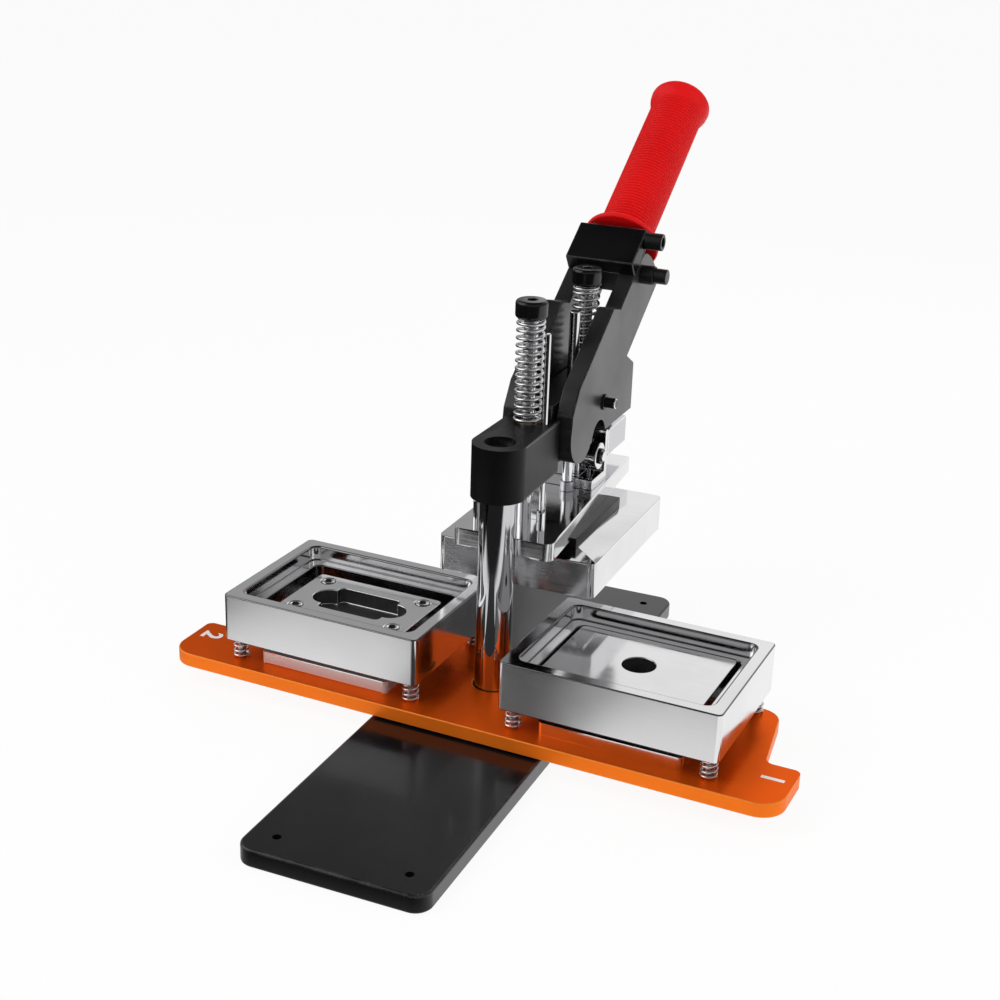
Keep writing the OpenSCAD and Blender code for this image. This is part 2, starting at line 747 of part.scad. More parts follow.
module pedestal_screws() color([0.6, 0.6, 0.62]) for (side = [-1, 1]) at_die(side)
    at_corners(pedestal_screw_x, pedestal_screw_y) translate([0, 0, z_table]) mirror([0, 0, 1])
        flat_screw(pedestal_screw_len);

// Lower dies
module pedestal(side) color([0.75, 0.75, 0.77]) at_die(side) difference() {
    translate([0, 0, z_top]) round_block(pedestal_l, pedestal_w, pedestal_t, ring_corner_r);
    at_corners(pedestal_screw_x, pedestal_screw_y)
        translate([0, 0, z_top - cut]) cylinder(d = flat_screw_d + 2 * screw_clear, h = pedestal_t + 2 * cut);
    if (side < 0) at_corners(core_screw_x, core_screw_y) translate([0, 0, z_core - core_screw_l])
        cylinder(d = flat_screw_d, h = core_screw_l);
}

module die_a_pedestal() pedestal(1);
module die_b_pedestal() pedestal(-1);

module pedestal_threads() {
    at_corners(pedestal_screw_x, pedestal_screw_y) translate([0, 0, z_table])
        cylinder(d = flat_screw_d, h = pedestal_screw_len);
}

module die_a_punch() color([0.85, 0.85, 0.87]) at_die(1) difference() {
    translate([0, 0, z_pedestal]) round_block(punch_l, punch_w, z_punch - z_pedestal, ring_corner_r);
    translate([0, 0, z_punch - punch_hole_depth]) cylinder(d = punch_hole_d, h = punch_hole_depth + cut);
    pedestal_threads();
}

module die_b_core() color([0.85, 0.85, 0.87]) at_die(-1) difference() {
    translate([0, 0, z_pedestal]) round_block(core_l, core_w, z_core - z_pedestal, ring_corner_r);
    translate([0, 0, z_core - core_slot_depth]) {
        round_block(core_mid_l, core_mid_w, core_slot_depth + cut, core_mid_r);
        for (x = [-1, 1]) translate([x * (core_slot_l - core_slot_w) / 2, 0, 0])
            cylinder(d = core_slot_w, h = core_slot_depth + cut);
    }
    at_corners(core_screw_x, core_screw_y)
        translate([0, 0, z_core]) flat_screw_hole(core_screw_l, screw_clear);
    pedestal_threads();
}

module die_b_core_screws() color([0.6, 0.6, 0.62]) at_die(-1)
    at_corners(core_screw_x, core_screw_y) translate([0, 0, z_core]) flat_screw(core_screw_l);

module floating_ring(side) color([0.85, 0.85, 0.87]) at_die(side) difference() {
    translate([0, 0, z_ring]) round_block(ring_l, ring_w, ring_h, ring_corner_r);
    translate([0, 0, z_ring - cut]) round_block(ring_open_l, ring_open_w, ring_h + 2 * cut, ring_inner_r);
    translate([0, 0, z_rim - ring_recess])
        round_block(ring_l - 2 * ring_rim, ring_w - 2 * ring_rim, ring_recess + cut, ring_inner_r);
    at_corners(ring_screw_x, ring_screw_y)
        translate([0, 0, z_ring - cut]) cylinder(d = ring_screw_d, h = ring_screw_grip + cut);
}
module die_a_ring() floating_ring(1);
module die_b_ring() floating_ring(-1);

module ring_screws(side) color([0.6, 0.6, 0.62]) at_die(side) at_corners(ring_screw_x, ring_screw_y) {
    translate([0, 0, z_ring_screw]) cylinder(d = ring_screw_head_d, h = ring_screw_head_h - stop_gap);
    translate([0, 0, z_ring_screw]) cylinder(d = ring_screw_d, h = z_ring + ring_screw_grip - z_ring_screw);
}
module die_a_ring_screws() ring_screws(1);
module die_b_ring_screws() ring_screws(-1);

module ring_springs(side) color([0.8, 0.8, 0.82]) at_die(side) at_corners(ring_screw_x, ring_screw_y)
    translate([0, 0, z_top]) coil(ring_spring_d, ring_spring_wire, ring_lift, ring_spring_turns);
module die_a_springs() ring_springs(1);
module die_b_springs() ring_springs(-1);

// Head
module press_head() color([0.08, 0.08, 0.08]) difference() {
    union() {
        translate([0, 0, z_head]) cylinder(r = boss_r, h = arm_h);
        translate([-arm_w / 2, 0, z_head]) cube([arm_w, arm_back, arm_h]);
        translate([-tongue_w / 2, arm_back - cut, z_head])
            cube([tongue_w, tongue_back - arm_back + cut, tongue_h]);
    }
    translate([0, 0, z_head - cut]) cylinder(d = column_d, h = column_seat + cut);
    translate([0, 0, z_arm - boss_hole_depth]) cylinder(d = boss_hole_d, h = boss_hole_depth + cut);
    translate([0, 0, z_head]) cylinder(d = column_bolt_d + 2 * screw_clear, h = arm_h);
    at_posts() translate([0, 0, z_head - cut]) cylinder(d = post_bush_d, h = tongue_h + 2 * cut);
    rod_bars(z_head - cut, tongue_h + 2 * cut, run_clear);
    at_fulcrum() bar_x(-tongue_w, tongue_w, fulcrum_bush_d);
    for (x = [-1, 1]) translate([x * rear_screw_x, rear_block_y + rear_screw_y, z_head - cut])
        cylinder(d = rear_screw_d, h = rear_screw_grip + cut);
}

module head_bolt() color([0.15, 0.15, 0.15]) translate([0, 0, z_arm - boss_hole_depth])
    cap_screw(column_bolt_d, arm_h - boss_hole_depth - column_seat + column_bolt_grip,
        column_bolt_head_d, column_bolt_head_h);

module guide_bushes() color([0.7, 0.5, 0.2]) for (p = [[post_front_y, arm_h], [post_rear_y, tongue_h]])
    translate([0, p[0], z_head]) difference() {
        cylinder(d = post_bush_d, h = p[1]);
        translate([0, 0, -cut]) cylinder(r = post_d / 2 + run_clear, h = p[1] + 2 * cut);
    }

module fulcrum_bush() color([0.7, 0.5, 0.2]) at_fulcrum() difference() {
    bar_x(-tongue_w / 2, tongue_w / 2, fulcrum_bush_d);
    bar_x(-tongue_w, tongue_w, fulcrum_d + 2 * run_clear);
}

module rear_guide_block() color([0.75, 0.75, 0.77]) difference() {
    translate([-rear_block_w / 2, rear_block_y, z_head - rear_block_h])
        cube([rear_block_w, rear_block_l, rear_block_h]);
    translate([0, rear_post_y, z_head - rear_block_h - cut])
        cylinder(r = rear_post_d / 2 + run_clear, h = rear_block_h + 2 * cut);
    for (x = [-1, 1])
        translate([x * rear_screw_x, rear_block_y + rear_screw_y, z_head - rear_block_h - cut]) {
            cylinder(d = rear_screw_d + 2 * screw_clear, h = rear_block_h + 2 * cut);
            cylinder(d = rear_screw_head_d + 2 * screw_clear, h = rear_screw_head_h + cut);
        }
}

module rear_block_screws() color([0.2, 0.2, 0.2]) for (x = [-1, 1])
    translate([x * rear_screw_x, rear_block_y + rear_screw_y, z_head - rear_block_h + rear_screw_head_h])
        mirror([0, 0, 1]) cap_screw(rear_screw_d, rear_block_h - rear_screw_head_h + rear_screw_grip,
            rear_screw_head_d, rear_screw_head_h);

// Ram
module ram_plate() color([0.85, 0.85, 0.88]) difference() {
    translate([0, 0, z_ram]) linear_extrude(ram_t) polygon(concat(
        arc([ram_corner_x, ram_y + ram_corner_r], ram_corner_r, -90, ram_lean),
        [[ram_back_w / 2, ram_back], [-ram_back_w / 2, ram_back]],
        arc([-ram_corner_x, ram_y + ram_corner_r], ram_corner_r, 180 - ram_lean, 270)));
    translate([0, 0, z_ram - cut]) cylinder(r = column_r + column_pass, h = ram_t + 2 * cut);
    translate([0, 0, z_ram_top - ram_thread]) {
        at_posts() cylinder(d = post_d, h = ram_thread + cut);
        rod_bars(0, ram_thread + cut, 0);
        translate([0, rear_post_y, 0]) cylinder(d = rear_post_d, h = ram_thread + cut);
        for (x = [-1, 1])
            translate([x * locating_x, locating_y, 0]) cylinder(d = locating_d, h = ram_thread + cut);
    }
    at_ram_screws() translate([0, 0, z_ram - cut]) cylinder(d = ram_screw_d, h = ram_thread + cut);
    at_riser_screws() translate([0, 0, z_ram - cut]) {
        cylinder(d = riser_screw_d + 2 * screw_clear, h = ram_t + 2 * cut);
        cylinder(d = riser_screw_head_d + 2 * screw_clear, h = riser_screw_head_h + cut);
    }
}

module at_ram_screws() {
    translate([0, spacer_y + spacer_l / 2, 0])
        at_corners(spacer_w / 2 - ram_screw_inset, spacer_l / 2 - ram_screw_end) children();
}

module at_riser_screws() {
    for (x = [-1, 1], y = [riser_screw_inset - riser_front, riser_back - riser_screw_inset])
        translate([x * (riser_half - riser_screw_inset), roller_y + y, 0]) children();
}

module ram_spacer() color([0.6, 0.6, 0.62]) difference() {
    translate([-spacer_w / 2, spacer_y, z_spacer]) cube([spacer_w, spacer_l, spacer_t]);
    at_ram_screws() translate([0, 0, z_spacer - cut])
        cylinder(d = ram_screw_d + 2 * screw_clear, h = spacer_t + 2 * cut);
}

module ram_screws() color([0.2, 0.2, 0.2]) at_ram_screws()
    translate([0, 0, z_pocket + ram_screw_head_h]) mirror([0, 0, 1])
        cap_screw(ram_screw_d, z_ram + ram_thread - z_pocket - ram_screw_head_h,
            ram_screw_head_d, ram_screw_head_h);

module at_upper_screws() {
    translate([0, press_y, z_upper_punch])
        at_corners(upper_punch_w / 2 - upper_screw_inset, upper_punch_l / 2 - upper_screw_inset)
            mirror([0, 0, 1]) children();
}

module upper_die() color([0.85, 0.85, 0.88]) difference() {
    translate([0, press_y, z_upper_die])
        round_block(upper_die_w, upper_die_l, upper_die_h, upper_die_corner_r);
    translate([0, press_y, z_upper_die - cut])
        round_block(upper_punch_w, upper_punch_l, upper_punch_pocket + cut, upper_die_corner_r);
    at_ram_screws() translate([0, 0, z_upper_die]) {
        cylinder(d = ram_screw_d + 2 * screw_clear, h = upper_die_h + cut);
        cylinder(d = ram_screw_head_d + 2 * screw_clear, h = upper_punch_pocket + ram_screw_head_h);
    }
    at_upper_screws() translate([0, 0, -upper_screw_l]) cylinder(d = flat_screw_d, h = upper_screw_l);
}

module upper_punch() color([0.7, 0.7, 0.72]) difference() {
    translate([0, press_y, z_upper_punch])
        round_block(upper_punch_w, upper_punch_l, upper_punch_stand + upper_punch_pocket, upper_die_corner_r);
    at_upper_screws() flat_screw_hole(upper_screw_l, screw_clear);
}

module upper_punch_screws() color([0.6, 0.6, 0.62]) at_upper_screws() flat_screw(upper_screw_l);

module locating_pins() color([0.85, 0.85, 0.87]) for (x = [-1, 1])
    translate([x * locating_x, locating_y, z_ram_top - ram_thread])
        cylinder(d = locating_d, h = ram_thread + locating_h);

module rear_guide_post() color([0.8, 0.8, 0.82]) translate([0, rear_post_y, z_ram_top - ram_thread])
    cylinder(d = rear_post_d, h = ram_thread + head_gap - pass_gap);

module guide_rods() color([0.8, 0.8, 0.82])
    rod_bars(z_ram_top - ram_thread, z_rod_top - z_ram_top + ram_thread, 0);

module rod_collars() color([0.7, 0.7, 0.72]) difference() {
    rod_bars(z_ram_top, rod_collar_h, rod_collar_wall);
    rod_bars(z_ram_top - cut, rod_collar_h + 2 * cut, 0);
}

module spring_posts() color([0.8, 0.8, 0.82]) at_posts() translate([0, 0, z_ram_top - ram_thread])
    cylinder(d = post_d, h = z_cap - cap_h / 2 - z_ram_top + ram_thread);

module post_caps() color([0.06, 0.06, 0.06]) at_posts() translate([0, 0, z_cap - cap_h]) difference() {
    cylinder(d = cap_d, h = cap_h);
    translate([0, 0, -cut]) cylinder(d = post_d, h = cap_h / 2 + cut);
    translate([0, 0, cap_h - cap_socket_depth]) cylinder(d = cap_socket_d, h = cap_h, $fn = 6);
}

module return_spring(y, z) color([0.8, 0.8, 0.82]) translate([0, y, z])
    coil(return_spring_d, return_spring_wire, z_cap - cap_h - z,
        floor(2 * (z_cap - cap_h - z) / return_spring_pitch) / 2);
module return_spring_front() return_spring(post_front_y, z_arm);
module return_spring_rear() return_spring(post_rear_y, z_tongue);

// Rollers under the lever's toes
module roller_riser() color([0.8, 0.8, 0.82]) difference() {
    translate([0, roller_y, z_ram_top]) {
        translate([-riser_half, -riser_front, 0])
            cube([2 * riser_half, riser_front + riser_back, riser_foot_t]);
        translate([bar_gap - roller_in, -riser_web, 0])
            cube([2 * (roller_in - bar_gap), 2 * riser_web, head_gap - pass_gap]);
        for (side = [0, 1]) mirror([side, 0, 0])
            translate([roller_in, roller_d / 2 + pass_gap, 0])
                cube([riser_half - roller_in, riser_back - roller_d / 2 - pass_gap,
                    z_roller + cheek_rise - z_ram_top]);
    }
    at_roller() bar_x(-riser_half, riser_half, roller_pin_d);
    at_riser_screws() translate([0, 0, z_ram_top - cut])
        cylinder(d = riser_screw_d, h = riser_foot_t - pass_gap + cut);
}

module riser_screws() color([0.2, 0.2, 0.2]) at_riser_screws()
    translate([0, 0, z_ram + riser_screw_head_h]) mirror([0, 0, 1])
        cap_screw(riser_screw_d, ram_t - riser_screw_head_h + riser_foot_t - pass_gap,
            riser_screw_head_d, riser_screw_head_h);

module roller_pin() color([0.7, 0.7, 0.72]) at_roller()
    bar_x(-roller_out - 2 * clip_t, roller_out + 2 * clip_t, roller_pin_d);

module roller_clips() color([0.25, 0.25, 0.25]) at_roller()
    for (side = [0, 1]) mirror([side, 0, 0]) difference() {
        bar_x(roller_out + clip_gap, roller_out + clip_gap + clip_t, roller_pin_d + 2 * clip_w);
        bar_x(roller_in, roller_out + 2 * clip_t, roller_pin_d);
    }

module roller(side) color([0.75, 0.75, 0.77]) at_roller() mirror([side, 0, 0]) difference() {
    bar_x(roller_in, roller_out, roller_d);
    bar_x(0, roller_out + cut, roller_pin_d + 2 * run_clear);
}
module roller_left() roller(1);
module roller_right() roller(0);

// Lever
module bar_outline() {
    polygon(concat(
        [[-toe_reach - toe_root, -toe_drop], [-brow_reach, brow_rise],
            lever_point(neck_foot, neck_front), lever_point(step_at, neck_front),
            lever_point(step_at + step_run, tang_front), lever_point(bar_end_from, tang_front)],
        [for (a = [75:-15:15]) lever_point(
            bar_end_from + (bar_end - bar_end_from) * cos(a),
            (tang_front + neck_back) * sin(a) - neck_back)],
        [lever_point(bar_end, -neck_back), lever_point(shoulder_at, -neck_back),
            [heel_reach, heel_rise], [heel_reach, -heel_drop], [0, -heel_drop],
            [toe_root * sin(45) - toe_reach, -toe_drop - toe_root * sin(45)]]));
}

module lever_bar(x0, x1) color([0.08, 0.08, 0.08]) difference() {
    at_fulcrum() {
        across(x0, x1) bar_outline();
        translate([0, -toe_reach, -toe_drop]) bar_x(x0, x1, 2 * toe_r);
    }
    at_fulcrum() {
        translate([0, -hollow_ahead, -hollow_drop]) bar_x(x0 - cut, x1 + cut, 2 * hollow_r);
        bar_x(x0 - cut, x1 + cut, fulcrum_d);
    }
    at_lever() translate([0, fork_bolt_at, handle_across]) bar_x(x0 - cut, x1 + cut, fork_bolt_d);
}
module lever_bar_left() lever_bar(-bar_out, -bar_in);
module lever_bar_right() lever_bar(bar_in, bar_out);

module fork_block() color([0.08, 0.08, 0.08]) at_lever() difference() {
    union() {
        translate([-bar_out, fork_from, tang_front]) cube([2 * bar_out, fork_l, fork_t]);
        translate([-bar_in, web_from, web_back])
            cube([2 * bar_in, fork_to - web_from, fork_front - web_back]);
    }
    translate([0, handle_from, handle_across]) rotate([-90, 0, 0])
        cylinder(d = handle_d, h = fork_to - handle_from + cut);
    translate([0, fork_bolt_at, handle_across]) bar_x(-bar_out, bar_out, fork_bolt_d);
    translate([0, clamp_at, clamp_across]) bar_x(bar_out - clamp_l, bar_out + cut, clamp_d);
}

module fork_bolt() color([0.1, 0.1, 0.1]) at_lever() translate([0, fork_bolt_at, handle_across]) {
    bar_x(-bar_out - fork_head_h, -bar_out, fork_nut_d);
    bar_x(-bar_out - fork_head_h / 2, bar_out + fork_nut_h + fork_bolt_reach, fork_bolt_d);
}

module fork_nut() color([0.1, 0.1, 0.1]) at_lever() translate([0, fork_bolt_at, handle_across]) difference() {
    bar_x(bar_out, bar_out + fork_nut_h, fork_nut_d);
    bar_x(0, bar_out + fork_nut_h + cut, fork_bolt_d);
}

module clamp_screw() color([0.1, 0.1, 0.1]) at_lever()
    translate([bar_out, clamp_at, clamp_across]) rotate([0, 90, 0])
        cap_screw(clamp_d, clamp_l, clamp_head_d, clamp_head_h);

module fulcrum_pin() color([0.8, 0.8, 0.82]) at_fulcrum() {
    bar_x(-bar_out - fulcrum_head_h, -bar_out, fulcrum_head_d);
    bar_x(-bar_out - fulcrum_head_h / 2, bar_out, fulcrum_d);
    bar_x(0, bar_out + fulcrum_end_l, fulcrum_end_d);
}

module fulcrum_clip() color([0.25, 0.25, 0.25]) at_fulcrum() difference() {
    bar_x(bar_out, bar_out + clip_t, fulcrum_end_d + 2 * clip_w);
    bar_x(0, bar_out + 2 * clip_t, fulcrum_end_d);
}

module handle_rod() color([0.8, 0.8, 0.82]) at_lever() translate([0, handle_from, handle_across])
    rotate([-90, 0, 0]) cylinder(d = handle_d, h = handle_to - handle_from);

module grip() color([0.75, 0.08, 0.08]) at_lever() translate([0, grip_from, handle_across])
    rotate([-90, 0, 0]) rotate_extrude() polygon(concat(
        [[handle_d / 2, 0], [grip_flange_d / 2, 0], [grip_flange_d / 2, grip_flange_t]],
        [for (i = [0:grip_ribs - 1], p = [[0, 1], [0.25, 0], [0.75, 0], [1, 1]])
            [grip_d / 2 - grip_groove * p[1], grip_flange_t + rib_pitch * (i + p[0] * rib_share)]],
        [[grip_d / 2, grip_l - grip_end_l], [grip_end_d / 2, grip_l - grip_end_l / 2],
            [grip_end_d / 2, grip_l - grip_end_cut], [grip_end_d / 2 - grip_end_cut, grip_l], [0, grip_l],
            [0, handle_to - grip_from], [handle_d / 2, handle_to - grip_from]]));

base_plate();
front_column();
column_bolt();
thrust_washer();
turntable_plate();
turntable_bush();
pedestal_screws();
die_a_pedestal();
die_a_punch();
die_a_ring();
die_a_ring_screws();
die_a_springs();
die_b_pedestal();
die_b_core();
die_b_core_screws();
die_b_ring();
die_b_ring_screws();
die_b_springs();
press_head();
head_bolt();
guide_bushes();
fulcrum_bush();
rear_guide_block();
rear_block_screws();
ram_plate();
ram_spacer();
ram_screws();
upper_die();
upper_punch();
upper_punch_screws();
locating_pins();
rear_guide_post();
guide_rods();
rod_collars();
spring_posts();
post_caps();
return_spring_front();
return_spring_rear();
roller_riser();
riser_screws();
roller_pin();
roller_clips();
roller_left();
roller_right();
lever_bar_left();
lever_bar_right();
fork_block();
fork_bolt();
fork_nut();
clamp_screw();
fulcrum_pin();
fulcrum_clip();
handle_rod();
grip();
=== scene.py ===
"""Dresses the rotary badge press: finishes, softened edges, screws, springs, grip, studio and camera."""
import logging
import math
from abc import ABC, abstractmethod
from collections.abc import Callable, Iterable, Sequence
from dataclasses import dataclass
from enum import Enum
from typing import ClassVar

import bmesh
import bpy
from mathutils import Matrix, Vector


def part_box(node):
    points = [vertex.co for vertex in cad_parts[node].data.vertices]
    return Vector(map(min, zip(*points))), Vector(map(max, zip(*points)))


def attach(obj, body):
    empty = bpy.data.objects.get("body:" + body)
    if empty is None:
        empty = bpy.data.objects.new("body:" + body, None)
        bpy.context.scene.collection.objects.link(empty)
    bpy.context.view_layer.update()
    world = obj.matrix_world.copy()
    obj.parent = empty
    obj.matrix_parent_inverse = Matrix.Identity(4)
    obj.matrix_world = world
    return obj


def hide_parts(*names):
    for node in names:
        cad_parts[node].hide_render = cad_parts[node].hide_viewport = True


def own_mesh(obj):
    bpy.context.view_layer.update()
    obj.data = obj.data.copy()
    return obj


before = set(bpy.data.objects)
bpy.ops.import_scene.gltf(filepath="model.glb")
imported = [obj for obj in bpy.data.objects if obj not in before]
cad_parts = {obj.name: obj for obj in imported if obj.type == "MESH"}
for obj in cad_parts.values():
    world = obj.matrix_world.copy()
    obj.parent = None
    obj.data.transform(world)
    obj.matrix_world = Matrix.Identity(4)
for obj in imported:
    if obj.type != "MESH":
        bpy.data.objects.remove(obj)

Colour = tuple[float, float, float]
Place = tuple[float, float, float]
Point = tuple[float, float]
Socket = bpy.types.NodeSocket
Test = Callable[[Vector], bool]
Tree = bpy.types.NodeTree

LOG = logging.getLogger("badge_press")
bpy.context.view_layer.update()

# Metres in a millimetre
MM = 0.001
# Turn of the turntable at rest
REST_TURN = math.radians(-2.0)
# A spot this near a plane, in millimetres, counts as on it
TOUCH = 0.1
# Shortest edge in millimetres that is rounded, so that the rims of small holes stay as they are
SMALL_RIM = 1.2
# The same for the head and the lever, whose holes are larger
LARGE_RIM = 1.6
# Least angle between the faces of an edge that is rounded
SHARP_TURN = math.radians(28.0)
# Least angle at which the shading breaks
CREASE = math.radians(50)
# Layer of face strengths for the even shading, and the strength of faces on a rounded edge
FACE_STRENGTH = "__mod_weightednormals_faceweight"
WEAK_FACE = -16384
# Part of the range from 0 to 1 in which most of a noise lies
NOISE_SPAN = (0.3, 0.7)
# Sockets of a node that maps one range of numbers to another
RANGE_SOCKETS = ("From Min", "From Max", "To Min", "To Max")
WHITE = (1.0, 1.0, 1.0, 1.0)


class Grain(Enum):
    """Direction in which a surface was brushed, as the stretch of its grain along X, Y and Z."""

    EVEN = (1.0, 1.0, 1.0)
    ALONG_X = (0.02, 1.0, 1.0)
    ALONG_Y = (1.0, 0.02, 1.0)
    ALONG_Z = (1.0, 1.0, 0.02)


class Side(Enum):
    """Side of the turntable that a lower die stands on at rest."""

    RIGHT = 1
    LEFT = -1


class Zone(Enum):
    """Part of a piece's surface, as the index of its finish on the piece."""

    FACE = 0
    EDGE = 1
    # Hollows: sockets, recesses and the walls of a ring's opening, which take a finish of painted shade where
    # the piece has one
    BORE = 2
    SIDE = 3


class ShaderBench:
    """Lays out the nodes of one material around its surface shader."""

    def __init__(self, name: str) -> None:
        """Start a material.

        Args:
            name: Name of the material.
        """
        self.material = bpy.data.materials.new(name)
        self.material.use_nodes = True
        self.nodes = self.material.node_tree.nodes
        self.links = self.material.node_tree.links
        self.surface = self.nodes["Principled BSDF"]
        self.place = self.nodes.new("ShaderNodeTexCoord").outputs["Object"]

    def noise(self, scale: float, stretch: Sequence[float], detail: float = 3.0) -> Socket:
        """Add a noise that is fixed to the piece.

        Args:
            scale: Grains in a metre.
            stretch: Factors on the scale along X, Y and Z.
            detail: Octaves of finer grain.

        Returns:
            The noise's value, from 0 to 1.
        """
        mapping = self.nodes.new("ShaderNodeMapping")
        mapping.inputs["Scale"].default_value = stretch
        self.links.new(self.place, mapping.inputs["Vector"])
        noise = self.nodes.new("ShaderNodeTexNoise")
        noise.inputs["Scale"].default_value = scale
        noise.inputs["Detail"].default_value = detail
        self.links.new(mapping.outputs["Vector"], noise.inputs["Vector"])
        return noise.outputs["Fac"]

    def spread(self, value: Socket, low: float, high: float) -> Socket:
        """Map a noise's usual span to other numbers.

        Args:
            value: The noise.
            low: Number at the start of the span.
            high: Number at its end.

        Returns:
            The number.
        """
        span = self.nodes.new("ShaderNodeMapRange")
        for name, number in zip(RANGE_SOCKETS, (*NOISE_SPAN, low, high)):
            span.inputs[name].default_value = number
        self.links.new(value, span.inputs["Value"])
        return span.outputs["Result"]

    def tint(self, value: Socket, dark: Colour, light: Colour) -> Socket:
        """Map a noise's usual span to colours.

        Args:
            value: The noise.
            dark: Colour at the start of the span.
            light: Colour at its end.

        Returns:
            The colour.
        """
        ramp = self.nodes.new("ShaderNodeValToRGB")
        for stop, spot, colour in zip(ramp.color_ramp.elements, NOISE_SPAN, (dark, light)):
            stop.position = spot
            stop.color = (*colour, 1.0)
        self.links.new(value, ramp.inputs["Fac"])
        return ramp.outputs["Color"]

    def relief(self, height: Socket, depth: float) -> None:
        """Raise the surface.

        Args:
            height: Share of the depth, from 0 to 1.
            depth: Depth in metres.
        """
        bump = self.nodes.new("ShaderNodeBump")
        bump.inputs["Strength"].default_value = 1.0
        bump.inputs["Distance"].default_value = depth
        self.links.new(height, bump.inputs["Height"])
        self.links.new(bump.outputs["Normal"], self.surface.inputs["Normal"])

    def add_share(self, value: Socket, share: float, rest: Socket) -> Socket:
        """Add a share of one number to another.

        Args:
            value: The number that is shared.
            share: Factor on it.
            rest: The other number.

        Returns:
            The sum.
        """
        total = self.nodes.new("ShaderNodeMath")
        total.operation = "MULTIPLY_ADD"
        total.inputs[1].default_value = share
        self.links.new(value, total.inputs[0])
        self.links.new(rest, total.inputs[2])
        return total.outputs[0]

    def fix(self, **sockets: float | tuple[float, ...]) -> None:
        """Set constant sockets of the surface, with spaces in their names written as underscores."""
        for name, constant in sockets.items():
            self.surface.inputs[name.replace("_", " ")].default_value = constant


@dataclass(frozen=True)
class Finish:
    """A finish whose colour, gloss and relief follow one fine grain and one broad mottle."""

    name: str
    slot: str
    colour: Colour
    gloss: tuple[float, float]
    metallic: float = 0.0
    mottle: float = 0.1
    grain: float = 1500.0
    broad: float = 25.0
    brushed: Grain = Grain.EVEN
    depth: float = 0.002 * MM
    coat: float = 0.0
    specular: float = 0.5
    edge_tint: Colour = (1.0, 1.0, 1.0)
    fine_share: ClassVar[float] = 0.5
    broad_detail: ClassVar[float] = 5.0
    coat_gloss: ClassVar[float] = 0.06

    def shaded(self, share: float) -> Colour:
        """Return the colour times share."""
        return tuple(channel * share for channel in self.colour)

    def material(self) -> bpy.types.Material:
        """Return the finish as a material, which is made on first use."""
        known = bpy.data.materials.get(self.name)
        return known if known else self.make()

    def make(self) -> bpy.types.Material:
        """Lay out the material.

        Returns:
            The new material.
        """
        bench = ShaderBench(self.name)
        fine = bench.noise(self.grain, self.brushed.value)
        broad = bench.noise(self.broad, Grain.EVEN.value, self.broad_detail)
        both = bench.add_share(fine, self.fine_share, bench.spread(broad, 0.0, 1 - self.fine_share))
        tint = bench.tint(both, self.shaded(1 - self.mottle), self.shaded(1 + self.mottle))
        bench.links.new(tint, bench.surface.inputs["Base Color"])
        bench.links.new(bench.spread(both, *self.gloss), bench.surface.inputs["Roughness"])
        bench.relief(fine, self.depth)
        bench.fix(Metallic=self.metallic, Coat_Weight=self.coat, Coat_Roughness=self.coat_gloss,
                  Specular_IOR_Level=self.specular, Specular_Tint=(*self.edge_tint, 1.0))
        return bench.material


